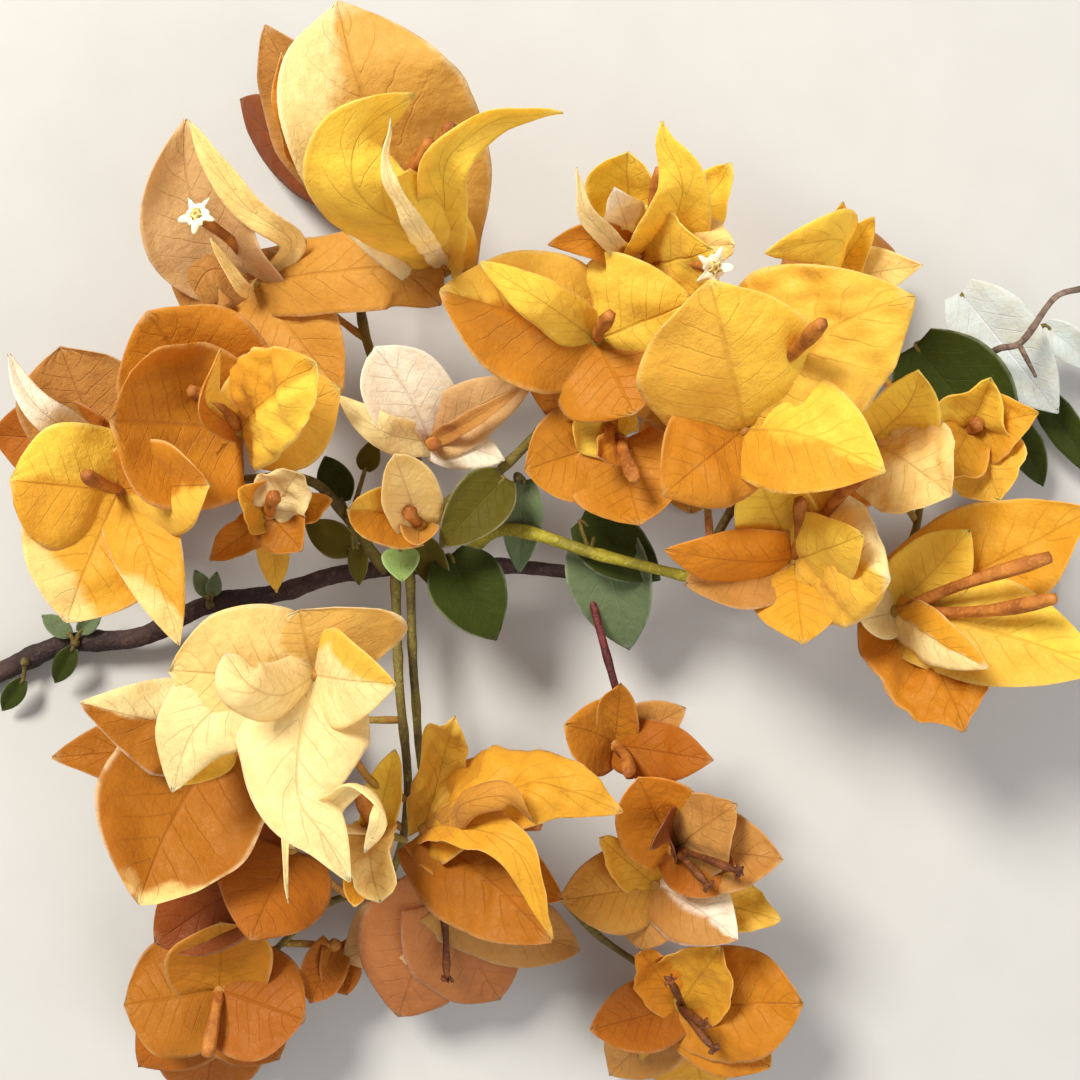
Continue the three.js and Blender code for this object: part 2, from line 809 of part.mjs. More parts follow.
for (const { name, finish, stalk, base, bracts, florets } of BLOOMS) {
  const centre = seen(base);
  const stalkPlaces = [...stalk.map(seen), centre];
  const pieces = [
    knob(centre, KNOB_RADIUS),
    limb(stalkPlaces, [STALK_RADIUS, STALK_RADIUS], STALK_SIDES, STALK_STEP),
  ];
  for (const [x, y, height, width, roll, cup, curl, bow, widest] of bracts) {
    pieces.push(blade(centre, seen([x, y, height]), { width, roll, cup, curl, bow, widest }));
  }
  for (const [waistX, waistY, waistHeight, x, y, height] of florets) {
    const places = [centre, seen([waistX, waistY, waistHeight]), seen([x, y, height])];
    pieces.push(limb(places, FLORET_RADII, STALK_SIDES));
  }
  addPart(name, finish, pieces);
}

// Leaves in sprays: the place on the stem, then for each leaf its foot, its tip, width and roll
const SPRAYS = [
  {
    name: "leaves_centre",
    from: [-21, -5.6, 20],
    leaves: [
      [-18, -3, 25, -8.8, -20, 27, 17, 0],
      [-24, 0.4, 25, -18.4, -10.8, 24, 8, 20],
      [-28, -1.6, 30, -27.6, -8.4, 33, 8, 0],
    ],
  },
  {
    name: "leaves_upper",
    from: [-10, 12.6, 35.8],
    leaves: [[-7, 12.6, 36, -20, -1.4, 37, 13, 0]],
  },
  {
    name: "leaves_behind",
    from: [-4.4, 12.6, 31],
    leaves: [[-3.2, 12, 27, -4.2, -6.6, 24, 9, 0]],
  },
  {
    name: "leaves_left",
    from: [-38, 4, 27],
    leaves: [
      [-37.6, -2, 26, -47, 3.4, 26, 8, 0],
      [-36.6, -1, 26, -36.2, -9, 24, 4.4, 0],
      [-39.4, 7.6, 26, -43, 16.8, 24, 8, 0],
      [-35, 14, 30, -33, 20.4, 32, 5, 0],
    ],
  },
  {
    name: "leaves_right",
    from: [10, -2.6, 28.6],
    leaves: [
      [12, 4, 25, 17.8, -22, 17, 19, 10],
      [8, 4, 27, 24, -8, 25, 14, 0],
    ],
  },
  {
    name: "leaves_far_right",
    from: [88.6, 39.4, 16.2],
    leaves: [
      [75, 39, 24, 94.6, 15, 20, 24, 0],
      [84, 49.6, 18, 103.6, 25.4, 16, 14, 0],
    ],
  },
  {
    name: "leaves_far_right_low",
    from: [86.8, 31, 17],
    leaves: [
      [95, 24, 10, 100.6, 10.8, 6, 8, 0],
      [101, 43, 12, 112, 34, 12, 8, 0],
      [99.6, 30, 9, 112, 12, 6, 8, 0],
    ],
  },
  {
    name: "leaves_foot",
    from: [-93, -20.6, 8.6],
    leaves: [
      [-93.4, -21.6, 9, -97, -28.6, 6, 5.4, 0],
      [-94, -19, 9, -99.6, -15, 8, 4.6, 0],
      [-92, -18.4, 9, -87.6, -13.6, 9, 4.6, 0],
    ],
  },
  {
    name: "leaves_cut",
    from: [-103, -24.4, 6.8],
    leaves: [[-103.4, -28, 6, -107.6, -34.2, 4, 5, 0]],
  },
  {
    name: "leaves_sprout",
    from: [-66, -12.8, 12],
    leaves: [
      [-66.6, -11, 12, -69, -6, 13, 4, 0],
      [-65.6, -11, 12, -64.6, -6.4, 14, 3.6, 0],
    ],
  },
];
for (const { name, from, leaves } of SPRAYS) {
  const node = seen(from);
  const pieces = [knob(node, NODE_RADIUS)];
  for (const [footX, footY, footHeight, x, y, height, width, roll] of leaves) {
    const foot = seen([footX, footY, footHeight]);
    const rise = seen([x, y, height]).sub(foot);
    const form = { width, roll, cup: LEAF_BEND, curl: -LEAF_BEND, thick: LEAF_THICK };
    const petiole = [node, foot, foot.clone().addScaledVector(rise, PETIOLE_OVERLAP)];
    pieces.push(limb(petiole, PETIOLE_RADII, STALK_SIDES));
    pieces.push(blade(foot, foot.clone().add(rise), form));
  }
  addPart(name, LEAF_GREEN, pieces);
}

export default branch;
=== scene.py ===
"""A cut branch of a yellow-orange bougainvillea in full bloom, lying on a pale floor."""

import itertools
import math

import bpy
import numpy as np
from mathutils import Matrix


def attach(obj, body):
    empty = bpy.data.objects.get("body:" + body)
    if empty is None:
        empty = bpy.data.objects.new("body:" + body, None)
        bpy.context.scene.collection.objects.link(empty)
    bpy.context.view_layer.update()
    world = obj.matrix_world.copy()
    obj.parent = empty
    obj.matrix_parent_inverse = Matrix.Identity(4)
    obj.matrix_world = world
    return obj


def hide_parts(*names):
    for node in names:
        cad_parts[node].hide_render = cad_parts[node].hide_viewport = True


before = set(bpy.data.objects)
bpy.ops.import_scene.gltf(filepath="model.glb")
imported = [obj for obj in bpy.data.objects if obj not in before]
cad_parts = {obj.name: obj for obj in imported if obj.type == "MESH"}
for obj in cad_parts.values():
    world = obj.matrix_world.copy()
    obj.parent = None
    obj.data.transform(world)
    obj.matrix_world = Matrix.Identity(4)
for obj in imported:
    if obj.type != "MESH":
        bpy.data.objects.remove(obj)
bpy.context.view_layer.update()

# Lengths are in millimetres until a mesh is made. Places are given as an eye above the branch
# sees them: x to the right and y up, at their true size at half the branch's height, then the height.
EYE_HEIGHT = 345
TRUE_HEIGHT = 45
MIDDLE = (3.65, 8.55)
EYE = np.array([MIDDLE[0], MIDDLE[1], EYE_HEIGHT])
CUT_X = MIDDLE[0] - 134
METRES = 0.001

BRACT_THICK = 0.32
LEAF_THICK = 0.4
STAR_THICK = 0.22
STALK_RADIUS = 0.75
STALK_TOP_RADIUS = 1.1
KNOB_RADIUS = 1.5
SPRAY_KNOB_RADIUS = 1.1
FLOOR_GAP = 0.12  # nothing lies lower
LOWEST = 0.25  # a blade that lies on the floor is flattened at this height

WIDEST_SHARE = 0.36  # where along its length a blade is widest
BRACT_FOOT = 0.6  # the width at its foot, of its widest
LEAF_FOOT = 0.4
BRACT_LOBE = 0.075  # how far its foot reaches back at its sides, of its length
LEAF_LOBE = 0.02
MIDRIB_DEPTH = 0.3
VEIN_DEPTH = 0.14

ROWS_PER_MM, FEWEST_ROWS, MOST_ROWS = 0.85, 14, 44
COLUMNS_PER_MM, FEWEST_COLUMNS, MOST_COLUMNS = 1.05, 10, 34

# How far apart the rings of a tube are, and how many sides it has
MAIN_STEM_STEP, MAIN_STEM_SIDES = 0.8, 22
SHOOT_STEP, SHOOT_SIDES = 1.3, 14
TWIG_STEP, TWIG_SIDES, SIDE_TWIG_SIDES = 0.9, 10, 8
STALK_STEP, STALK_SIDES = 1.1, 10
LEAF_STALK_STEP, LEAF_STALK_SIDES = 0.8, 8
FLORET_STEP, FLORET_SIDES = 0.8, 15


def seen(place):
    """A place as the eye sees it, in the branch's own frame."""
    x, y, height = place
    scale = (EYE_HEIGHT - height) / (EYE_HEIGHT - TRUE_HEIGHT)
    return np.array([x * scale + MIDDLE[0], y * scale + MIDDLE[1], height], float)


def unit(vector):
    return vector / np.maximum(np.linalg.norm(vector, axis=-1, keepdims=True), 1e-9)


def smooth(low, high, value):
    share = np.clip((value - low) / (high - low), 0, 1)
    return share * share * (3 - 2 * share)


def turned(vector, axis, degrees):
    angle = math.radians(degrees)
    return (
        vector * math.cos(angle)
        + np.cross(axis, vector) * math.sin(angle)
        + axis * axis.dot(vector) * (1 - math.cos(angle))
    )


# ---- meshes


class Piece:
    """Sheets and tubes joined into one mesh."""

    def __init__(self, name):
        self.name = name
        self.points, self.share, self.place = [], [], []
        self.faces, self.finish = [], []
        self.finishes = []
        self.count = 0

    def add(self, points, faces, finish, share=None, place=None):
        points = np.asarray(points, float).reshape(-1, 3)
        if finish not in self.finishes:
            self.finishes.append(finish)
        self.points.append(points)
        self.share.append(np.zeros_like(points) if share is None else np.reshape(share, (-1, 3)))
        self.place.append(points if place is None else np.reshape(place, (-1, 3)))
        for some in faces:
            if len(some):
                self.faces.append(np.asarray(some, np.int64) + self.count)
                self.finish.append(np.full(len(some), self.finishes.index(finish)))
        self.count += len(points)

    def make(self, slot, *nodes):
        mesh = bpy.data.meshes.new(self.name)
        points = np.concatenate(self.points) * METRES
        corners = np.concatenate([some.ravel() for some in self.faces])
        sizes = np.concatenate([np.full(len(some), some.shape[1]) for some in self.faces])
        mesh.vertices.add(len(points))
        mesh.vertices.foreach_set("co", points.ravel())
        mesh.loops.add(len(corners))
        mesh.loops.foreach_set("vertex_index", corners)
        mesh.polygons.add(len(sizes))
        mesh.polygons.foreach_set("loop_start", np.concatenate(([0], np.cumsum(sizes)[:-1])))
        mesh.polygons.foreach_set("material_index", np.concatenate(self.finish))
        mesh.polygons.foreach_set("use_smooth", np.ones(len(sizes), bool))
        for name, rows in (("share", self.share), ("place", self.place)):
            layer = mesh.attributes.new(name, "FLOAT_VECTOR", "POINT")
            layer.data.foreach_set("vector", np.concatenate(rows).ravel())
        for finish in self.finishes:
            mesh.materials.append(FINISHES[finish])
        mesh.update(calc_edges=True)
        mesh.validate()
        piece = bpy.data.objects.new(self.name, mesh)
        bpy.context.scene.collection.objects.link(piece)
        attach(piece, "root")
        if nodes:
            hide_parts(*nodes)


def grid_faces(rows, columns, start=0, flip=False, wrap=False):
    """Quads between the points of a grid, row by row."""
    across = np.arange(columns if wrap else columns - 1)
    row = np.arange(rows - 1)[:, None]
    a = start + row * columns + across
    b = start + row * columns + (across + 1) % columns
    quads = np.stack([a, b, b + columns, a + columns], -1).reshape(-1, 4)
    return quads[:, ::-1] if flip else quads


def fan(start, sides, centre, flip=False):
    """Triangles from the edges of a ring of points to the point at its centre."""
    ring = start + np.arange(sides)
    after = np.roll(ring, -1)
    return np.stack([after, ring, np.full(sides, centre)] if flip else [ring, after, np.full(sides, centre)], -1)


def circle(sides):
    return np.linspace(0, 2 * math.pi, sides, endpoint=False)[None, :]


def spread(values, count):
    """The values at even steps, as a column of count rows."""
    return np.interp(np.linspace(0, 1, count), np.linspace(0, 1, len(values)), values)[:, None]


def shell(piece, middle, thick, finish, share, place):
    """A thin closed sheet round a grid of points, thinner at its margin."""
    rows, columns = middle.shape[:2]
    along = np.gradient(middle, axis=0)
    across = np.gradient(middle, axis=1)
    out = unit(np.cross(across, along))
    lift = out * (thick / 2)[..., None]
    total = rows * columns
    front = grid_faces(rows, columns)
    back = grid_faces(rows, columns, total, flip=True)
    rim = np.concatenate(
        [
            np.arange(columns),
            np.arange(2, rows + 1) * columns - 1,
            total - 2 - np.arange(columns - 1),
            np.arange(rows - 2, 0, -1) * columns,
        ]
    )
    after = np.roll(rim, -1)
    edge = np.stack([after, rim, rim + total, after + total], -1)
    points = np.concatenate([(middle + lift).reshape(-1, 3), (middle - lift).reshape(-1, 3)])
    points[:, 2] = np.maximum(points[:, 2], FLOOR_GAP)
    both = [np.concatenate([rows_of.reshape(-1, 3)] * 2) for rows_of in (share, place)]
    piece.add(points, [front, back, edge], finish, *both)


def outline(share, foot, point, widest):
    """Half the width of a blade, of its widest, at a share of its length. A high point is blunt."""
    low = 1 - (1 - foot) * (1 - np.minimum(share / widest, 1)) ** 2.3
    past = np.clip((share - widest) / (1 - widest), 0, 1)
    high = (1 - past**point) ** 0.86 * (1 - 0.1 * smooth(0.6, 1, past)) + 0.012
    return np.where(share < widest, low, high)


def ripples(rng, across, along, length, count=5, ridged=False):
    """A smooth random relief about 1 high, over a sheet laid out flat."""
    total = 0
    for _ in range(count):
        angle = rng.uniform(0, math.pi)
        step = 2 * math.pi / (length * rng.uniform(0.7, 1.5))
        wave = np.sin((across * math.cos(angle) + along * math.sin(angle)) * step + rng.uniform(0, 6.28))
        total = total + (1 - 2 * np.abs(wave) if ridged else wave)
    return total / count**0.5


def blade(piece, base, tip, width, finish, rng, leaf=False, roll=0, cup=0, curl=0, bow=0, by=None, **form):
    """A bract or a leaf: its midrib runs on an arc from base to tip, and it is cupped across.

    roll turns its right edge away, curl and cup bend its tip and its edges at the eye, bow moves
    its middle to the left, twist turns it on its way to the tip, and fold bends it along the
    midrib. All are degrees. crease and ruffle are the heights of its creases and of its waves at
    the margin, the waves as a share of its width. by lists places that the midrib runs through.
    """
    twist = form.get("twist", rng.uniform(-10, 10))
    fold = form.get("fold", rng.uniform(2, 9))
    left, right = (math.radians(rng.uniform(-22, 22)) for _ in range(2))
    crease = form.get("crease", rng.uniform(0.18, 0.4))
    ruffle = form.get("ruffle", rng.uniform(0.012, 0.03)) * width
    foot = form.get("foot", LEAF_FOOT if leaf else BRACT_FOOT)
    lobe = LEAF_LOBE if leaf else BRACT_LOBE
    point = form.get("point", 1.8 if leaf else 2)
    widest = form.get("widest", WIDEST_SHARE)
    thick = LEAF_THICK if leaf else BRACT_THICK

    rise = tip - base
    length = np.linalg.norm(rise)
    rise = rise / length
    face = EYE - base
    face = unit(face - rise * face.dot(rise))
    face = turned(face, rise, roll)
    side = np.cross(rise, face)
    bend, lean, cross = (math.radians(angle) or 1e-3 for angle in (curl, bow, cup))

    if by:
        path = traced(by, 1.0, base, tip)
        length = np.linalg.norm(np.diff(path, axis=0), axis=1).sum()
    rows = int(np.clip(length * ROWS_PER_MM, FEWEST_ROWS, MOST_ROWS))
    columns = int(np.clip(width * COLUMNS_PER_MM, FEWEST_COLUMNS, MOST_COLUMNS)) // 2 * 2 + 1
    v = np.linspace(0, 1, rows)[:, None]
    s = np.linspace(-1, 1, columns)[None, :]

    def arc(angle):
        return ((np.cos(angle * (v - 0.5)) - math.cos(angle / 2)) / math.sin(angle / 2))[..., None]

    if by:
        path = spline(path, length / (rows - 1.001))[:rows]
        tangent = unit(np.gradient(path, axis=0))[:, None]
        normal = unit(face - tangent * (tangent @ face)[..., None])
        side = np.cross(tangent, normal)
        spine = path[:, None]
    else:
        turn = (bend * (v - 0.5))[..., None]
        forward = length / 2 * (np.sin(turn) / math.sin(bend / 2) + 1)
        tangent = rise * np.cos(turn) + face * np.sin(turn)
        normal = face * np.cos(turn) - rise * np.sin(turn)
        spine = base + rise * forward - (face * arc(bend) + side * arc(lean)) * length / 2
    spin = math.radians(twist) * (v[..., None] - 0.3)
    beside = side * np.cos(spin) + normal * np.sin(spin)
    normal = normal * np.cos(spin) - side * np.sin(spin)

    ragged = 1 + 0.035 * ripples(rng, s * 3, v * length, 16, 3) * np.abs(s)
    half = width / 2 * outline(v, foot, point, widest) * ragged
    angle = s * half * cross / width + math.radians(fold) * np.tanh(s / 0.09)
    angle = angle + right * smooth(0.55, 1, s) - left * smooth(0.55, 1, -s)
    step = 2 / (columns - 1)

    def summed(slope):
        walked = np.cumsum((slope[:, 1:] + slope[:, :-1]) / 2, axis=1) * step
        walked = np.concatenate([np.zeros((rows, 1)), walked], axis=1)
        return walked - walked[:, columns // 2, None]

    across = summed(np.cos(angle) * half)
    deep = summed(np.sin(angle) * half)
    flat = s * half
    along = v * length
    phase = v * 7.5 - np.abs(s) ** 0.9 * (2.6 - v) + 0.5 * (s > 0)
    vein = np.cos(2 * math.pi * phase) ** 8 * smooth(0.06, 0.2, np.abs(s)) * (1 - 0.6 * np.abs(s))
    lift = -MIDRIB_DEPTH * np.exp(-((flat / 0.8) ** 2)) * (1 - v) ** 0.5
    lift = lift - VEIN_DEPTH * vein * (1.6 if leaf else 1)
    lift = lift + crease * ripples(rng, flat, along, 11)
    if crease > 0.5:
        lift = lift + 0.55 * crease * ripples(rng, flat, along, 9, 4, ridged=True)
    lift = lift + ruffle * ripples(rng, flat * 0.3, along, 15, 3) * np.abs(s) ** 2.5
    lift = lift * smooth(0, 0.12, v)

    out = normal * np.cos(angle)[..., None] - beside * np.sin(angle)[..., None]
    middle = spine + beside * across[..., None] + normal * deep[..., None] + out * lift[..., None]
    back = lobe * length * np.abs(s) ** 1.5 * np.clip(1 - v / 0.3, 0, 1) ** 2
    middle = middle - tangent * back[..., None]
    middle[..., 2] = np.maximum(middle[..., 2], LOWEST + 0.1 * np.sin(flat) * np.sin(along * 0.7))

    tall = np.ones_like(flat)
    share = np.stack([phase * tall, s * tall, v * tall], -1)
    place = np.stack([flat + rng.uniform(0, 90), along * tall, rng.uniform(0, 90) * tall], -1)
    shell(piece, middle, thick * (1 - 0.5 * np.abs(s * tall) ** 6), finish, share, place)


def walk(curve):
    """How far along a curve each of its points is."""
    return np.concatenate(([0], np.cumsum(np.linalg.norm(np.diff(curve, axis=0), axis=1))))


def spline(places, step):
    """Points a step apart on a smooth curve through the places."""
    points = [np.asarray(p, float) for p in places]
    ends = [2 * points[0] - points[1], *points, 2 * points[-1] - points[-2]]
    curve = []
    for p0, p1, p2, p3 in zip(ends, ends[1:], ends[2:], ends[3:]):
        d0, d1, d2 = (max(np.linalg.norm(b - a) ** 0.5, 1e-3) for a, b in ((p0, p1), (p1, p2), (p2, p3)))
        t1 = d1 * ((p1 - p0) / d0 - (p2 - p0) / (d0 + d1) + (p2 - p1) / d1)
        t2 = d1 * ((p2 - p1) / d1 - (p3 - p1) / (d1 + d2) + (p3 - p2) / d2)
        w = np.linspace(0, 1, 24, endpoint=False)[:, None]
        curve.append(p1 + w * t1 + w**2 * (-3 * p1 + 3 * p2 - 2 * t1 - t2) + w**3 * (2 * p1 - 2 * p2 + t1 + t2))
    curve.append(points[-1][None])
    curve = np.concatenate(curve)
    walked = walk(curve)
    count = max(4, round(walked[-1] / step) + 1)
    at = np.linspace(0, walked[-1], count)
    return np.stack([np.interp(at, walked, curve[:, axis]) for axis in range(3)], -1)


def traced(places, step, *ends):
    """The curve through places as the eye sees them, and from and to any ends in the branch's frame."""
    return spline([*ends[:-1], *(seen(place) for place in places), *ends[-1:]], step)


def frames(curve):
    """For each point of a curve, two directions square to it that turn as little as they can."""
    tangent = unit(np.gradient(curve, axis=0))
    start = np.cross(tangent[0], (0, 0, 1) if abs(tangent[0][2]) < 0.9 else (1, 0, 0))
    first = [unit(start)]
    for direction in tangent[1:]:
        kept = first[-1] - direction * first[-1].dot(direction)
        first.append(unit(kept))
    first = np.array(first)
    return tangent, first, np.cross(tangent, first)


def rings_round(curve, first, second, size):
    """A ring of points round each point of a curve, its sizes in rows."""
    around = circle(size.shape[1])[..., None]
    return curve[:, None] + (first[:, None] * np.cos(around) + second[:, None] * np.sin(around)) * size[..., None]


def tube(piece, curve, radii, finish, sides, relief=None, ribs=0):
    """A closed tube along a curve. radii are spread evenly, and relief adds to them."""
    tangent, first, second = frames(curve)
    count = len(curve)
    radius = spread(radii, count)
    size = radius * (1 + ribs * np.cos(5 * circle(sides)))
    if relief:
        size = size + relief(walk(curve)[:, None], circle(sides), radius)
    points = rings_round(curve, first, second, size)
    ends = curve[[0, -1]] + tangent[[0, -1]] * np.array([[-0.4], [0.4]]) * radius[[0, -1]]
    points = np.concatenate([points.reshape(-1, 3), ends])
    points[:, 2] = np.maximum(points[:, 2], FLOOR_GAP)
    total = count * sides
    ends = fan(0, sides, total, flip=True), fan(total - sides, sides, total + 1)
    piece.add(points, [grid_faces(count, sides, wrap=True), *ends], finish)


def ball(piece, centre, radius, finish):
    """A slightly lobed ball."""
    rows, sides = 7, 12
    up = np.linspace(-1, 1, rows + 2)[1:-1, None] * math.pi / 2
    around = circle(sides)
    points = np.stack([np.cos(up) * np.cos(around), np.cos(up) * np.sin(around), np.sin(up) + 0 * around], -1)
    points = points * (1 + 0.08 * np.cos(3 * around) * np.cos(up))[..., None]
    points = np.concatenate([points.reshape(-1, 3), [[0, 0, -1], [0, 0, 1]]]) * radius + centre
    total = rows * sides
    ends = fan(0, sides, total, flip=True), fan(total - sides, sides, total + 1)
    piece.add(points, [grid_faces(rows, sides, wrap=True), *ends], finish)


# The radii of a floret's tube, from its foot to its mouth
FLORET_RADII = {
    "shut": [0.75, 1.15, 1.2, 1.1, 1.1, 1.25, 1.5, 1.5, 1.1],
    "open": [0.8, 1.2, 1.15, 1.0, 1.0, 1.1, 1.25],
    "withered": [0.7, 1.0, 0.8, 0.6, 0.75, 0.9, 0.4],
}
# What sits at its mouth: the finish, how far ahead, its reach, and its rise as a share of that
FLORET_MOUTHS = {
    "shut": [],
    "open": [("star", -0.3, 3.9, 0.5), ("star_heart", 0.1, 1.5, 0.9)],
    "withered": [("withered", -0.2, 1.5, 1.8)],
}


def floret(piece, rng, centre, waist, mouth, state="shut"):
    """A slender tube with a swollen foot. It ends shut, in an open star, or withered."""
    curve = spline([centre, seen(waist), seen(mouth)], FLORET_STEP)
    finish = "withered" if state == "withered" else "tube"
    tube(piece, curve, FLORET_RADII[state], finish, FLORET_SIDES, ribs=0.09)
    out = unit(curve[-1] - curve[-3])
    for finish, ahead, reach, rise in FLORET_MOUTHS[state]:
        corolla(piece, curve[-1] + out * ahead, out, rng, reach, finish, rise)


def corolla(piece, centre, out, rng, reach, finish, rise):
    """Ten lobes, five broad and five narrow, of a length reach, spread from the mouth of a tube."""
    first = unit(np.cross(out, rng.normal(size=3)))
    second = np.cross(out, first)
    rings, sides = 7, 60
    r = np.linspace(0.16, 1, rings)[:, None]
    around = circle(sides)
    edge = 0.74 + 0.2 * np.cos(5 * around) + 0.12 * np.cos(10 * around + 0.6)
    wide = reach * r * (1 + (edge - 1) * r**2)
    high = rise * reach * (0.28 * r**0.7 - 0.32 * r**3) + 0.1 * reach * np.sin(around * 5 + 3 * r) * r**2
    crumple = 0.12 * reach * r**2 * ripples(rng, around * 4, r * 3, 5, 3)
    high = high + crumple * (2.6 if finish == "withered" else 1)
    middle = (
        centre
        + first * (wide * np.cos(around))[..., None]
        + second * (wide * np.sin(around))[..., None]
        + out * high[..., None]
    )
    upper = (middle + out * STAR_THICK / 2).reshape(-1, 3)
    lower = (middle - out * STAR_THICK / 2).reshape(-1, 3)
    total = rings * sides
    rims = []
    for ring in (np.arange(sides), np.arange(total - sides, total)):
        after = np.roll(ring, -1)
        rims.append(np.stack([ring, after, after + total, ring + total], -1))
    quads = [
        grid_faces(rings, sides, wrap=True, flip=True),
        grid_faces(rings, sides, total, wrap=True),
        rims[1][:, ::-1],
        rims[0],
    ]
    piece.add(np.concatenate([upper, lower]), quads, finish)


# ---- materials

# These multiply the tint that they lie on
BROAD_BLOTCH = (0.95, 0.88, 0.78, 1)
SMALL_BLOTCH = (0.93, 0.86, 0.76, 1)
SPECKS = (0.8, 0.74, 0.66, 1)
BRACT_VEINS = (0.82, 0.66, 0.44, 1)
LEAF_VEINS = (1.7, 1.5, 1.9, 1)

CRACKS = (0.01, 0.008, 0.007, 1)
GLOSS = 0.3

# How fine the patterns are: per millimetre on a blade, per metre on the rest
BLADE_BROAD, BLADE_MOTTLE, BLADE_FINE, BLADE_NET = 0.085, 0.28, 0.7, 0.62
STEM_BROAD, STEM_FINE, STEM_PORES, STEM_CRACKS = 90, 900, 520, 260
FLORET_BROAD, FLORET_FINE = 220, 1500


def linear(red, green, blue):
    """A colour given as sRGB, 0 to 255."""
    parts = [c / 255 for c in (red, green, blue)]
    return (*(c / 12.92 if c <= 0.04045 else ((c + 0.055) / 1.055) ** 2.4 for c in parts), 1)


class Nodes:
    """Short calls for a material's nodes."""

    def __init__(self, name):
        self.material = bpy.data.materials.new(name)
        self.material.use_nodes = True
        self.tree = self.material.node_tree
        self.tree.nodes.clear()
        self.out = self.tree.nodes.new("ShaderNodeOutputMaterial")

    def put(self, kind, **inputs):
        node = self.tree.nodes.new(kind)
        for name, value in inputs.items():
            self.feed(node.inputs[name.replace("_", " ")], value)
        return node

    def feed(self, socket, value):
        if isinstance(value, bpy.types.NodeSocket):
            self.tree.links.new(value, socket)
        else:
            socket.default_value = value

    def math(self, operation, *values):
        node = self.put("ShaderNodeMath")
        node.operation = operation
        for socket, value in zip(node.inputs, values):
            self.feed(socket, value)
        return node.outputs[0]

    def times(self, *values):
        return self.math("MULTIPLY", *values)

    def plus(self, *values):
        return self.math("ADD", *values)

    def minus(self, *values):
        return self.math("SUBTRACT", *values)

    def ramp(self, value, low, high, start=0, end=1):
        node = self.put("ShaderNodeMapRange")
        node.interpolation_type = "SMOOTHSTEP"
        for socket, number in zip(node.inputs, (value, low, high, start, end)):
            self.feed(socket, number)
        return node.outputs[0]

    def mix(self, share, first, second, how="MIX"):
        node = self.put("ShaderNodeMix")
        node.data_type = "RGBA"
        node.blend_type = how
        self.feed(node.inputs[0], share)
        self.feed(node.inputs[6], first)
        self.feed(node.inputs[7], second)
        return node.outputs[2]

    def vector(self, name):
        node = self.put("ShaderNodeAttribute")
        node.attribute_name = name
        return node.outputs["Vector"]

    def split(self, vector):
        node = self.put("ShaderNodeSeparateXYZ", Vector=vector)
        return node.outputs[0], node.outputs[1], node.outputs[2]

    def noise(self, vector, scale, detail=3, rough=0.55):
        node = self.put("ShaderNodeTexNoise", Vector=vector, Scale=scale, Detail=detail, Roughness=rough)
        return node.outputs[0]

    def cells(self, vector, scale):
        node = self.put("ShaderNodeTexVoronoi", Vector=vector, Scale=scale)
        node.feature = "DISTANCE_TO_EDGE"
        return node.outputs["Distance"]

    def bump(self, height, strength, distance):
        node = self.put("ShaderNodeBump", Height=height, Strength=strength, Distance=distance)
        return node.outputs[0]

    def finish(self, shader):
        self.tree.links.new(shader, self.out.inputs["Surface"])
        return self.material

    def finish_thin(self, body, colour, normal, through):
        """Ends the material with the body's look and a share of light that comes through it."""
        light = self.put("ShaderNodeBsdfTranslucent", Color=colour, Normal=normal)
        both = self.put("ShaderNodeMixShader")
        for socket, value in zip(both.inputs, (through, body.outputs[0], light.outputs[0])):
            self.feed(socket, value)
        return self.finish(both.outputs[0])


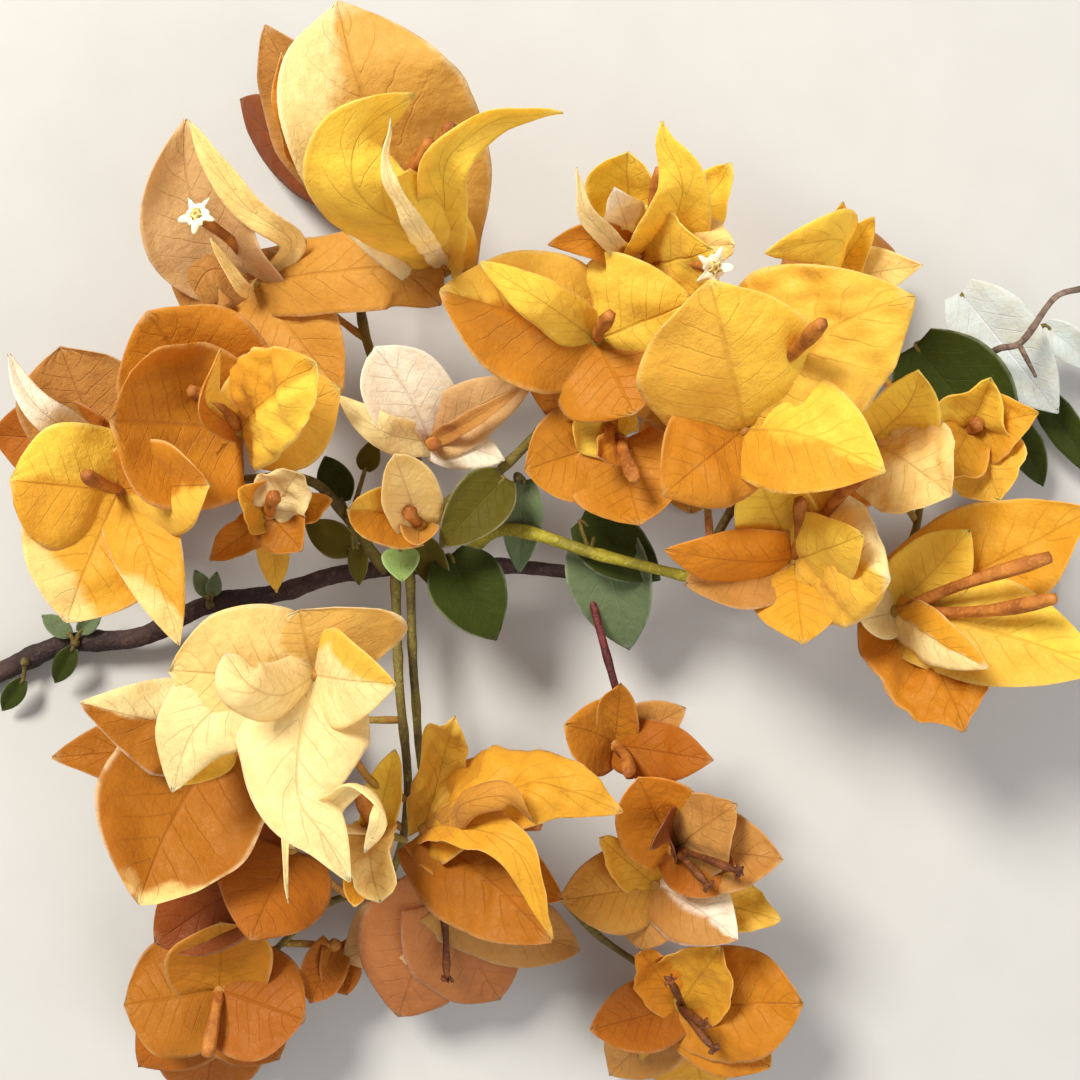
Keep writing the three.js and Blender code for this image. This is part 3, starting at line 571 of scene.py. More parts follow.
def blade_material(name, tint, glow, through, rough, veined, gloss=GLOSS, lit=None, way=None, at=None):
    """A thin living sheet: veins, mottling and creases on it, and light that comes through it.

    glow tints that light, and through is its share. veined is below 0 where the veins are pale.
    lit is the tint of a painted patch of sunlight or shade that it takes beyond a soft edge. The edge lies square to
    way, which is given as its parts across and along the sheet, at the distance at from the middle.
    """
    n = Nodes(name)
    place = n.vector("place")
    phase, across, along = n.split(n.vector("share"))
    aside = n.math("ABSOLUTE", across)
    broad = n.noise(place, BLADE_BROAD, 2)
    fine = n.noise(place, BLADE_FINE, 4, 0.6)
    mottle = n.noise(place, BLADE_MOTTLE)
    wavy = n.plus(phase, n.times(n.minus(mottle, 0.5), 0.35))
    line = n.math("ABSOLUTE", n.minus(n.math("FRACT", wavy), 0.5))
    laterals = n.times(n.ramp(line, 0.44, 0.5), n.ramp(aside, 0.98, 0.3))
    midrib = n.ramp(aside, 0.045, 0)
    net = n.times(n.ramp(n.cells(place, BLADE_NET), 0.07, 0), 0.16)
    veins = n.math("MAXIMUM", n.math("MAXIMUM", n.times(laterals, 0.7), midrib), net)
    colour = linear(*tint)
    # A painted patch of sunlight or shade, beyond a ragged soft edge
    if lit:
        out = n.plus(n.times(across, way[0]), n.times(n.minus(along, 0.5), 2 * way[1]))
        ragged = n.plus(n.times(broad, 0.8), n.times(mottle, 0.4))
        edge = n.plus(out, n.minus(ragged, 0.6))
        colour = n.mix(n.ramp(edge, at - 0.12, at + 0.12), colour, linear(*lit))
    colour = n.mix(n.ramp(broad, 0.36, 0.66, 0, 0.7), colour, BROAD_BLOTCH, "MULTIPLY")
    colour = n.mix(n.ramp(mottle, 0.48, 0.72, 0, 0.6), colour, SMALL_BLOTCH, "MULTIPLY")
    vein_tint = BRACT_VEINS if veined > 0 else LEAF_VEINS
    colour = n.mix(n.times(veins, abs(veined)), colour, vein_tint, "MULTIPLY")
    # A paler rim at the margin and tip: partly a paler margin, partly a painted highlight where light comes through
    # the thin edge
    pale = linear(*(c + (255 - c) * 0.4 for c in (lit or tint)))
    near = n.math("MINIMUM", n.minus(1, aside), n.times(n.minus(1, along), 1.2))
    rim = n.times(n.ramp(near, 0.09, 0), n.ramp(mottle, 0.3, 0.6, 0.1, 0.65))
    colour = n.mix(rim, colour, pale)
    colour = n.mix(n.ramp(fine, 0.2, 0.8, 0.3, 0), colour, SPECKS, "MULTIPLY")
    crinkle = n.plus(n.times(mottle, 0.9), n.times(fine, 0.3))
    height = n.minus(crinkle, n.times(veins, 0.35))
    normal = n.bump(height, 0.6, 0.001)
    body = n.put("ShaderNodeBsdfPrincipled", Base_Color=colour, Normal=normal)
    n.feed(body.inputs["Roughness"], n.ramp(mottle, 0.3, 0.7, rough - 0.07, rough + 0.1))
    body.inputs["Specular IOR Level"].default_value = gloss
    body.inputs["Sheen Weight"].default_value = 0.08
    body.inputs["Sheen Roughness"].default_value = 0.5
    return n.finish_thin(body, n.mix(1.0, colour, glow, "MULTIPLY"), normal, through)


def stem_material(name, tint, deep, streak, rough, fissures=0):
    """Bark or a green shoot: patches of a deeper tint on it, specks, pores and, on bark, cracks."""
    n = Nodes(name)
    tint, deep, streak = linear(*tint), linear(*deep), linear(*streak)
    spot = n.put("ShaderNodeTexCoord").outputs["Object"]
    broad = n.noise(spot, STEM_BROAD)
    fine = n.noise(spot, STEM_FINE, 5, 0.65)
    pores = n.cells(spot, STEM_PORES)
    colour = n.mix(n.ramp(broad, 0.35, 0.65), tint, deep)
    colour = n.mix(n.times(n.ramp(fine, 0.52, 0.7), 0.5), colour, streak)
    if fissures:
        cracks = n.times(n.ramp(n.cells(spot, STEM_CRACKS), 0.12, 0), fissures)
        colour = n.mix(cracks, colour, CRACKS)
    height = n.plus(fine, n.times(n.ramp(pores, 0, 0.2), 0.6))
    normal = n.bump(height, 0.5, 0.0004)
    body = n.put("ShaderNodeBsdfPrincipled", Base_Color=colour, Normal=normal)
    n.feed(body.inputs["Roughness"], n.ramp(fine, 0.3, 0.7, rough - 0.1, rough + 0.12))
    body.inputs["Specular IOR Level"].default_value = GLOSS
    return n.finish(body.outputs[0])


def floret_material(name, tint, deep, tip, through=0.2):
    """The soft skin of a floret, with patches of a deeper tint and pale specks."""
    n = Nodes(name)
    tint, deep, tip = linear(*tint), linear(*deep), linear(*tip)
    spot = n.put("ShaderNodeTexCoord").outputs["Object"]
    broad = n.noise(spot, FLORET_BROAD, 2)
    fine = n.noise(spot, FLORET_FINE, 4)
    colour = n.mix(n.ramp(broad, 0.35, 0.65), tint, deep)
    colour = n.mix(n.times(n.ramp(fine, 0.5, 0.7), 0.35), colour, tip)
    normal = n.bump(fine, 0.3, 0.0002)
    body = n.put("ShaderNodeBsdfPrincipled", Base_Color=colour, Normal=normal, Roughness=0.6)
    body.inputs["Specular IOR Level"].default_value = GLOSS
    return n.finish_thin(body, colour, normal, through)


BRACT_LOOK = {"glow": (1, 0.9, 0.6, 1), "through": 0.5, "rough": 0.56, "veined": 0.38}
LEAF_LOOK = {"glow": (0.8, 1, 0.3, 1), "through": 0.14, "rough": 0.58, "veined": -0.4, "gloss": 0.1}

# Tints are sRGB, 0 to 255
# Bract tints are partly the bracts' own colours and partly painted light: the palest, such as white and cream, also
# stand in for sunlit bracts, and the deepest, such as tan, bronze and rust, for bracts in shade
BRACT_TINTS = {
    "white": (255, 252, 242),
    "cream": (255, 244, 188),
    "straw": (254, 234, 158),
    "lemon": (255, 230, 90),
    "gold": (248, 213, 86),
    "honey": (239, 189, 56),
    "ochre": (221, 167, 67),
    "sand": (230, 190, 94),
    "amber": (218, 150, 35),
    "orange": (235, 160, 30),
    "copper": (198, 129, 28),
    "bronze": (195, 118, 25),
    "fawn": (213, 161, 84),
    "peach": (232, 199, 141),
    "tan": (201, 133, 75),
    "rust": (158, 80, 14),
}
# Bracts with a painted patch of sunlight or shade: its tint, the tint of that patch, which way it lies, across and
# along, and how far out. The patch is paler, painted sunlight, except gold on cream, which is deeper, painted shade.
LIT_BRACTS = {
    "sand_lit": ("sand", "cream", (-1, -0.2), 0.12),
    "cream_shaded_left": ("cream", "gold", (-0.9, 0.4), 0.25),
    "gold_lit": ("gold", "lemon", (-1, 0.2), 0.0),
    "gold_lit_right": ("gold", "lemon", (1, 0), 0.0),
    "gold_lit_cream": ("gold", "cream", (-1, 0.1), 0.15),
    "honey_lit": ("honey", "lemon", (1, 0), 0.05),
    "honey_lit_left": ("honey", "lemon", (-1, 0), -0.05),
    "honey_lit_cream": ("honey", "cream", (1, 0), -0.05),
    "honey_lit_tip": ("honey", "straw", (0.4, 1), 0.46),
    "amber_lit": ("amber", "gold", (1, 0.1), 0.1),
    "copper_lit": ("copper", "cream", (1, 0), 0.0),
    "copper_lit_tip": ("copper", "straw", (-0.2, 1), 0.86),
    "fawn_lit": ("fawn", "white", (-1, 0.2), -0.15),
}
LEAF_TINTS = {
    "leaf_dark": (50, 60, 10),
    "leaf_olive": (84, 76, 14),
    "leaf_grey": (98, 114, 80),
    "leaf_light": (152, 184, 108),
    "leaf_pale": (196, 203, 200),
}
# The main tint, a deeper one, that of the specks, the roughness and the strength of its cracks
STEM_TINTS = {
    "bark": ((66, 46, 42), (44, 30, 28), (104, 84, 76), 0.8, 0.4),
    "bark_pale": ((126, 104, 90), (92, 72, 60), (170, 150, 130), 0.8, 0.4),
    "wood": ((214, 190, 148), (190, 160, 116), (160, 128, 84), 0.7),
    "green": ((108, 94, 34), (80, 66, 28), (150, 138, 66), 0.6),
    "yellow_green": ((150, 138, 34), (118, 108, 28), (186, 176, 80), 0.55),
    "red": ((96, 34, 34), (66, 22, 24), (134, 70, 58), 0.6),
    "stalk": ((150, 126, 48), (166, 104, 46), (190, 158, 84), 0.6),
}
# The main tint, a deeper one, that of the specks, and the light that comes through
FLORET_TINTS = {
    "tube": ((192, 122, 50), (150, 84, 32), (222, 164, 84)),
    "withered": ((124, 70, 32), (88, 44, 20), (170, 112, 60)),
    "star": ((250, 246, 226), (244, 234, 196), (255, 252, 240), 0.3),
    "star_heart": ((196, 190, 110), (226, 206, 130), (150, 150, 70)),
}
FINISHES = {}
for name, tint in BRACT_TINTS.items():
    FINISHES[name] = blade_material(name, tint, **BRACT_LOOK)
for name, (base, lit, way, at) in LIT_BRACTS.items():
    FINISHES[name] = blade_material(name, BRACT_TINTS[base], lit=BRACT_TINTS[lit], way=way, at=at, **BRACT_LOOK)
for name, tint in LEAF_TINTS.items():
    FINISHES[name] = blade_material(name, tint, **LEAF_LOOK)
for name, looks in STEM_TINTS.items():
    FINISHES[name] = stem_material(name, *looks)
for name, looks in FLORET_TINTS.items():
    FINISHES[name] = floret_material(name, *looks)


# ---- the branch


def bark_relief(depth, seed):
    """Creases along a stem, swellings at its joints and small pores."""
    rng = np.random.default_rng(seed)
    phases = rng.uniform(0, 6.28, 8)
    gap = rng.uniform(13, 17)

    def relief(walked, around, radius):
        folds = sum(
            np.sin(around * k + phases[k] + 0.8 * np.sin(walked / (5 + 2 * k) + phases[-k])) / k for k in (2, 3, 5, 7)
        )
        grain = np.sin(walked * 1.9 + 2 * np.sin(around + phases[0])) * np.sin(walked * 0.63 + around * 2)
        joint = np.exp(-(((walked + 4) % gap - gap / 2) ** 2) / 3.2)
        return radius * (depth * (0.5 * folds + 0.3 * grain) + 0.16 * joint)

    return relief


# The places that the main stem runs through. It is cut off flat at CUT_X.
MAIN_STEM = [
    (-124, -33, 2.3), (-108, -26.4, 3), (-95, -20.8, 5), (-80, -19.4, 7), (-66.4, -13, 9), (-51.6, -10.4, 12),
    (-40, -6.8, 14), (-12, -5, 18), (12, -7, 20),
]
MAIN_STEM_RADII = [2.4, 2.3, 2.1, 1.8, 1.4]
main = Piece("main_stem_looks")
curve = traced(MAIN_STEM, MAIN_STEM_STEP)
radius = spread(MAIN_STEM_RADII, len(curve))
shown = curve[:, 0] > CUT_X
tangent, first, second = (way[shown] for way in frames(curve))
curve, radius = curve[shown], radius[shown]
walked = np.arange(len(curve))[:, None] * MAIN_STEM_STEP
sides = MAIN_STEM_SIDES
rings = rings_round(curve, first, second, radius + bark_relief(0.12, 3)(walked, circle(sides), radius))
rings[0] += tangent[0] * ((CUT_X - rings[0][:, 0]) / tangent[0][0])[:, None]
rings[..., 2] = np.maximum(rings[..., 2], FLOOR_GAP)
middle = rings[0].mean(0)
cap = np.concatenate([*(rings[0] + (middle - rings[0]) * share for share in (0, 0.34, 0.67, 0.9)), [middle]])
end = np.concatenate([rings[-1], [rings[-1].mean(0) + tangent[-1] * 0.8]])
main.add(rings, [grid_faces(len(rings), sides, wrap=True)], "bark")
main.add(end, [fan(0, sides, sides)], "bark")
main.add(cap, [grid_faces(4, sides, wrap=True, flip=True), fan(3 * sides, sides, 4 * sides, flip=True)], "wood")
main.make("bark", "main_stem")

# Name, finish, radius at the foot and at the end, then the places that it runs through
SHOOTS = [
    ("shoot_up", "green", 1.2, 0.9, (-24, -4, 17), (-20, 6, 28), (-8, 14, 34), (4, 26, 40), (9, 30, 42)),
    ("shoot_right", "yellow_green", 1.5, 0.9, (-16, -5, 18), (-8, 2, 27), (12, -3, 32), (28, -7, 32),
     (42, -10.4, 30), (52, -10, 28)),
    ("shoot_upper_left", "green", 1.3, 0.9, (-23, -5.6, 17), (-24, 8, 20), (-26, 22, 22), (-33, 35, 25),
     (-36, 48, 27), (-34, 62, 28)),
    ("shoot_left", "green", 1.2, 0.8, (-31, -6.2, 16), (-39, 5, 25), (-46, 11.8, 31), (-66, 12, 33), (-82, 14, 33)),
    ("shoot_hanging", "green", 1.1, 0.7, (-29, -6, 16), (-28.2, -28, 24), (-26.6, -54.4, 29), (-31, -68, 26),
     (-43, -73, 20), (-53, -82, 14)),
    ("shoot_low", "green", 1, 0.7, (-26, -6, 17), (-25, -30, 18), (-22, -50, 19), (-10, -62, 20), (2.4, -69.8, 22),
     (10.8, -78.4, 22), (20, -85, 22)),
    ("shoot_red", "red", 0.9, 0.7, (9, -6.8, 20), (13.6, -24, 24), (17, -36, 24), (22, -52, 24), (24, -64, 24)),
    ("shoot_far_right", "green", 1, 0.7, (49, -10, 28.6), (64, -11, 27), (74, -1, 28), (77, 12, 26), (84, 26, 20),
     (88, 38, 16)),
    ("shoot_inner", "green", 1, 0.9, (31, -7.8, 32), (36, 2, 38), (40, 10, 42), (40.4, 18, 46)),
]
for seed, (name, finish, foot, end, *places) in enumerate(SHOOTS, 20):
    shoot = Piece(name + "_looks")
    tube(shoot, traced(places, SHOOT_STEP), [foot, end], finish, SHOOT_SIDES, bark_relief(0.07, seed))
    shoot.make("red_stem" if finish == "red" else "green_stem", name)

FORK = (95.8, 39.2, 28)
TWIG = [(88, 36, 16.6), (92.2, 38.4, 26), FORK, (103.4, 48.8, 30), (108, 50.2, 30)]
SIDE_TWIG = [FORK, (99.2, 32.6, 29)]
twig = Piece("dead_twig_looks")
relief = bark_relief(0.14, 41)
tube(twig, traced(TWIG, TWIG_STEP), [0.8, 0.6], "bark_pale", TWIG_SIDES, relief)
tube(twig, traced(SIDE_TWIG, TWIG_STEP), [0.6, 0.35], "bark_pale", SIDE_TWIG_SIDES, relief)
twig.make("bark", "dead_twig")


def bract(x, y, height, width, finish, roll=0, cup=-40, curl=-30, bow=0, **form):
    """The place of a bract's tip, its width and finish, and what blade takes beyond them."""
    return (x, y, height), width, finish, {"roll": roll, "cup": cup, "curl": curl, "bow": bow, **form}


bloom_numbers = itertools.count()


def bloom(name, slot, stalk, base, bracts, florets=()):
    """Bracts and florets on a short stalk.

    stalk lists the place on the shoot and any bends on the way to the base. A floret is its
    waist, its mouth and its state, where it isn't shut.
    """
    number = next(bloom_numbers)
    rng = np.random.default_rng(100 + number)
    centre = seen(base)
    sheets = Piece(name + "_bracts")
    for tip, width, finish, form in bracts:
        blade(sheets, centre, seen(tip), width, finish, rng, **form)
    sheets.make(slot, name)
    heart = Piece(name + "_heart")
    radii = [STALK_RADIUS] * 4 + [STALK_TOP_RADIUS]
    tube(heart, traced([*stalk, base], STALK_STEP), radii, "stalk", STALK_SIDES, bark_relief(0.05, number))
    ball(heart, centre, KNOB_RADIUS, "stalk")
    for parts in florets:
        floret(heart, rng, centre, *parts)
    heart.make("green_stem", name)


# Each bract's finish is partly its own colour and partly painted light: a paler tint where it lies in sunlight, a
# deeper one where it lies in shade
bloom("bloom_top", "bract_gold", [(-35, 56, 27.6), (-26, 55, 38)], (-19, 54, 46), [
    bract(-40.6, 107.6, 72, 35, "sand_lit", 5, 40, by=[(-27, 74, 62), (-35.6, 90, 73)], foot=0.3, widest=0.58,
        crease=0.4),
    bract(-25, 89, 82, 23, "lemon", -10, -90, by=[(-28.5, 63, 70), (-37, 70.5, 80), (-36, 81, 84)], foot=0.4),
    bract(4.6, 85.4, 82, 10, "lemon", 15, 60, by=[(-19.2, 66, 70), (-18, 77, 84), (-8.4, 84, 85)], foot=0.6),
    bract(-29.8, 84.4, 86, 4.4, "cream", 0, -60, by=[(-25.8, 64, 82), (-30.4, 73, 87)], foot=0.7),
    bract(-27, 73, 68, 14, "lemon"),
], [
    ((-23.6, 68, 72), (-17.8, 83, 85)),
    ((-26, 70, 72), (-22, 79.6, 83)),
])
bloom("bloom_top_back", "bract_amber", [(-34.3, 60, 28)], (-36, 70, 28), [
    bract(-55, 103, 44, 22, "fawn", -20),
    bract(-60, 88, 0, 20, "rust", -40),
    bract(-22, 96, 0, 26, "bronze", 20, -40, -40),
    bract(-51.6, 97.6, 52, 9, "amber_lit", 0, 50, by=[(-46, 78, 42), (-50, 86, 50)], crease=0.7),
])
bloom("bloom_peach", "bract_peach", [(-34.6, 40, 25.6), (-46, 48, 28)], (-56.8, 51.6, 34), [
    bract(-70.8, 84.2, 52, 26, "peach", -20, 30, -30, 60, fold=25, crease=0.45),
    bract(-71, 45, 36, 17, "fawn", 10, -30, by=[(-66, 54, 40)]),
    bract(-19.8, 47, 46, 17, "ochre", -10, -50, by=[(-43, 53.5, 46), (-28, 53.8, 50)], foot=0.8, point=4,
        widest=0.5),
    bract(-39.4, 29.5, 40, 24, "ochre", 15, -30, fold=20),
    # A narrow straw strip: the folded half of the peach bract above, its pale tint painted sunlight
    bract(-70.4, 84, 54, 6, "straw", 0, 40, by=[(-49.6, 59.4, 46), (-59, 67, 52), (-65.6, 76, 54)], foot=0.1,
        widest=0.6),
    bract(-66, 60.4, 46, 3.2, "straw", 0, 50, by=[(-59, 50, 42), (-62, 54, 45)]),
], [
    ((-60, 58, 40), (-68.8, 65.2, 56), "open"),
    ((-52, 56, 38), (-47.6, 60, 42)),
])
bloom("bloom_left", "bract_amber", [(-60, 12, 32.8)], (-60, 22, 44), [
    bract(-85.4, 24, 62, 34, "amber", 0, 50, 50, foot=0.8, point=5),
    bract(-78.6, 45.6, 56, 31, "amber", 0, 30, 30, 5, point=3),
    bract(-44.6, 35.4, 70, 20, "honey_lit", -20, -60, -50, crease=0.9, foot=0.8, point=3),
    bract(-64, 38, 66, 8, "amber_lit", 40, 70, by=[(-67, 28, 60)]),
    bract(-40, 30.6, 48, 24, "gold", 10, -30),
], [((-64, 27, 54), (-70, 30, 60))])
bloom("bloom_left_small", "bract_gold", [(-50, 11.8, 32)], (-54, 5, 40), [
    bract(-47.6, -2, 46, 11, "copper", 0, 60, 30, crease=0.8),
    bract(-66, -4, 40, 8, "amber", 0, 60, 30, crease=0.6),
    bract(-48, 14, 52, 12, "cream", 0, 60, 30, crease=1.0),
    bract(-60, 10, 50, 11, "honey", 20, 60, 30, crease=0.6),
    bract(-42, 8, 44, 8, "amber", 0, 60, 30, crease=0.8),
    bract(-52.6, -10.6, 30, 7, "gold", 0, 50, 20),
], [((-54, 7, 44), (-53, 9, 49))])
bloom("bloom_far_left", "bract_gold", [(-78, 13.6, 33)], (-84, 10, 42), [
    bract(-106, 12, 54, 26, "honey_lit", -10, -30, -40, foot=0.8, point=4, crease=0.4),
    bract(-95, -16.5, 46, 30, "honey_lit_tip", 5, crease=0.5),
    bract(-66, 11, 60, 20, "amber_lit", 10, -30, -10, point=3, crease=0.5),
    bract(-72, -21.2, 54, 15, "honey_lit_tip", 20, -50, -30, 20, point=1.5),
], [((-87, 11, 50), (-91, 13, 57))])
bloom("bloom_far_left_high", "bract_cream", [(-81, 14, 33)], (-88, 19, 37), [
    bract(-106.4, 37.6, 52, 7, "white", 20, 30, by=[(-94, 22, 46), (-101, 27, 52)], foot=0.3),
    bract(-96, 38.6, 44, 26, "fawn", -10, 30, 20, point=3),
    bract(-110, 21, 34, 20, "bronze", -10, 30, 20),
])
bloom("bloom_cream", "bract_cream", [(-25.3, 18, 21.6)], (-22, 19.4, 30), [
    bract(-33, 38.6, 44, 19, "white", 0, 40, -30, -20, point=4, foot=0.8),
    bract(-40.6, 29, 40, 8, "cream", 10, 50, by=[(-32, 22, 40)]),
    bract(-1, 32, 44, 13, "peach", 0, 40, -20, 20, crease=0.5),
    bract(-7, 16, 38, 10, "white", 0, -30, -20, 20),
    bract(-3, 31, 46, 4, "fawn", 0, 60, by=[(-12, 25, 44)]),
], [((-21.6, 19.4, 38), (-21, 19, 46))])
bloom("bloom_young", "bract_amber", [(-20.6, 4.6, 26.6)], (-24, 3, 36), [
    bract(-38.4, 6, 47, 14, "amber_lit", 0, 90, 30, -20, point=3),
    bract(-29, 17, 50, 13, "straw", 10, 80, 20, point=3),
    bract(-24.4, -1, 44, 9, "ochre", 0, 60, 20),
], [((-25, 4, 38), (-26.4, 6, 41))])
bloom("bloom_middle", "bract_gold", [(8, 29, 41.6)], (11.4, 40, 50), [
    bract(-20, 50, 62, 27, "amber_lit", 0, -30, crease=0.5),
    bract(31, 48, 60, 30, "lemon", 10, crease=0.5),
    bract(19, 25, 56, 27, "amber", 0, -40, -20, point=3),
    bract(2, 24, 46, 20, "amber", 0, -40, -20, point=3),
    bract(-12, 55.6, 66, 10, "lemon", 0, -50, by=[(0, 48, 64)]),
], [((12, 42, 58), (14, 45, 66))])
bloom("bloom_middle_high", "bract_gold", [(8.4, 29.4, 41.8), (14, 44, 40)], (20, 55, 46), [
    bract(17.6, 77.4, 64, 17, "lemon", -20, 60, 30, 25, crease=0.5, point=8),
    bract(24.4, 83.8, 76, 15, "lemon", 10, 50, by=[(26, 62, 60), (28.4, 72, 72), (25, 79.6, 75)], point=1.4),
    bract(37.4, 75, 66, 11, "lemon", -20, 60, 20, -20, crease=1.1, point=3),
    bract(34.5, 58, 68, 24, "lemon", 20, crease=0.6, point=3),
    bract(7.4, 74.6, 68, 4.4, "cream", 0, 50, by=[(14, 60, 60), (9, 66, 67)]),
    bract(1.6, 59, 58, 9, "amber", 0, 40, by=[(10, 60, 60)]),
    bract(15, 70, 68, 9, "white", 0, 50, 20, crease=0.6, point=3),
    bract(39, 59, 67, 14, "straw", 0, 60, 20, 20, crease=1.2, point=3),
], [
    ((22, 62, 56), (24, 74, 68)),
    ((27, 56, 56), (35, 54.4, 68), "open"),
])
bloom("bloom_middle_low", "bract_amber", [(3, 25, 39.4)], (16, 20, 44), [
    bract(-3, 14, 48, 20, "amber", 0, 40, 30, crease=0.5, point=3),
    bract(20, 3, 48, 24, "amber", 0, 40, 30, point=3),
    bract(8, 28, 52, 14, "lemon", 0, 70, 40, crease=0.9),
    bract(12, 17, 54, 9, "amber", 0, 70, 40, crease=0.9),
], [((17, 17, 50), (19, 12, 56))])
bloom("bloom_right", "bract_gold", [(40.4, 17, 45.6)], (41, 22, 54), [
    bract(75, 48.8, 76, 35, "gold", -10, -40, -30, 50, crease=0.7),
    bract(34, 52, 78, 35, "gold_lit_right", 0, -50, widest=0.45, crease=0.4),
    bract(69, 13.6, 78, 23, "honey_lit_left", -10, -40, -40, 20, crease=0.4),
    bract(24.6, 9, 62, 22, "amber", crease=0.6),
], [((48, 34, 62), (56.4, 43.4, 84))])
bloom("bloom_right_side", "bract_peach", [(75, 4, 27.4)], (66, 20, 44), [
    bract(82, 9, 58, 21, "straw", 0, 40, -20, 10, crease=0.9, point=3),
    bract(75.6, 33.8, 66, 17, "lemon", 20, 40, 20, -45, point=1.3),
    bract(56, 6, 40, 18, "amber", 0, -40, -20),
])
bloom("bloom_right_back", "bract_amber", [(79, 17, 24.2), (68, 34, 28)], (58, 52, 34), [
    bract(66.6, 64.4, 52, 10, "lemon", 0, 50, 20, point=1.1),
    bract(76.4, 55, 50, 12, "straw", 0, 50, 20, point=1.2),
    bract(60.6, 67.6, 46, 9, "gold", 0, 50, 20, point=1.1),
    bract(48, 54, 4, 18, "amber"),
    bract(70, 50, 2, 24, "amber"),
    bract(45, 57.4, 64, 13, "lemon", by=[(60, 60, 56)]),
])
bloom("bloom_right_low", "bract_gold", [(46, -10.3, 29.4)], (51, -4, 38), [
    bract(43, 13.6, 56, 18, "lemon", 0, 50, 30, point=3),
    bract(64.6, 1, 66, 17, "lemon", 10, -40, -20),
    bract(70, -8, 62, 27, "gold_lit_cream", 10, -50, -40, 30, point=3, crease=0.8),
    bract(25, -2, 54, 14, "orange", -30, -80),
    bract(29, -9, 46, 17, "fawn", 20, 50, 20),
    bract(52.6, -20.8, 50, 20, "honey", 0, -40, -20),
    bract(60, 11, 52, 20, "gold", 0, -40, -20),
], [
    ((60, 9, 54), (66.8, 14.6, 66)),
    ((52, 2, 46), (52, 8, 52)),
])
bloom("bloom_star", "bract_amber", [(80, 18, 23.6)], (86, 22, 34), [
    bract(90.2, 32.6, 46, 17, "lemon", 0, 40, -20, crease=0.8, point=1.2),
    bract(99.4, 25.4, 46, 16, "honey", 0, 40, -20, crease=0.8, point=1.1),
    bract(92, 8, 42, 17, "gold", 0, 50, 20, crease=1.1, point=3),
    bract(80, 12, 46, 13, "honey", 0, 50, 20, crease=1.0),
], [((87, 22.6, 37), (87.6, 23.6, 40))])
bloom("bloom_far_right", "bract_gold", [(66, -9.6, 27)], (71, -14.4, 34), [
    bract(110, 6, 52, 27, "honey", -10, 30, 30, crease=0.5),
    bract(113, -26, 54, 22, "gold_lit", 0, -30, -30, 15, crease=0.4),
    bract(84.6, -37.4, 48, 25, "amber", 0, 50, 30, 25, crease=0.8),
    bract(64, -16, 42, 11, "cream", 0, 60, 20),
    bract(89.6, -25.6, 58, 11, "honey_lit_cream", 20, -50),
    bract(86, 2, 46, 17, "lemon", 0, 40, 20),
], [
    ((84, -9, 48), (102, -3.4, 60)),
    ((90, -14, 50), (103, -11.6, 60)),
])
bloom("bloom_front", "bract_cream", [(-26.8, -52, 28.6), (-35, -46.8, 48)], (-45, -27, 58), [
    bract(-38, -68.4, 70, 26, "cream", 0, -50, by=[(-48, -40, 66), (-48, -52, 70), (-42.6, -60, 71)], crease=0.2,
        point=0.87, widest=0.3),
    bract(-28.8, -28.8, 76, 19, "cream_shaded_left", 10, -40, -40, point=1.6),
    bract(-74, -26, 66, 27, "straw", -10, -50, -50, point=3),
    bract(-48, -14, 62, 38, "sand_lit", 0, -50, -50, point=3),
    bract(-73.6, -50.4, 62, 20, "cream", 0, -50, by=[(-60, -31, 64), (-69, -38, 66)], point=1.6),
    bract(-63, -22.6, 76, 13, "cream", 0, -130, by=[(-52, -31, 70), (-58, -29, 77)], foot=0.8, point=6, crease=0.1),
])
bloom("bloom_front_left", "bract_amber", [(-27, -58, 28.6), (-46, -46, 34)], (-63, -40, 40), [
    bract(-80, -72.6, 54, 35, "copper_lit_tip", 0, 40, 40, -22, point=2.4),
    bract(-92, -32.6, 54, 20, "copper_lit", crease=0.6, point=1.4),
    bract(-97.6, -43.4, 42, 17, "copper", 10, 40, 30),
    bract(-73, -49, 62, 10, "lemon"),
])
bloom("bloom_front_low", "bract_amber", [(-38, -71.6, 22)], (-50, -62, 30), [
    bract(-58, -80, 44, 25, "bronze"),
    bract(-50.4, -72.6, 54, 2.6, "cream", 0, 40, by=[(-50.6, -55, 52), (-51, -64, 54)]),
    bract(-77, -80.6, 28, 20, "rust", 0, 40, 20, point=4),
    bract(-72, -60, 2, 24, "bronze"),
])
bloom("bloom_curls", "bract_gold", [(-27, -60, 28.6)], (-33, -58, 42), [
    bract(-35, -62.4, 72, 5.4, "cream", 0, -120, by=[(-42, -56, 60), (-40.4, -51, 72), (-35.6, -48.6, 77),
        (-31.8, -54, 78)], foot=0.5, point=5),
    bract(-32, -72.6, 58, 12, "straw", 0, 80, by=[(-34, -64, 54)], point=5, crease=0.8),
    bract(-37, -73, 60, 10, "honey", 0, 80, 40),
    bract(-29, -42, 48, 9, "lemon", 0, 60, 30),
], [((-35, -54, 50), (-36, -50, 54))])
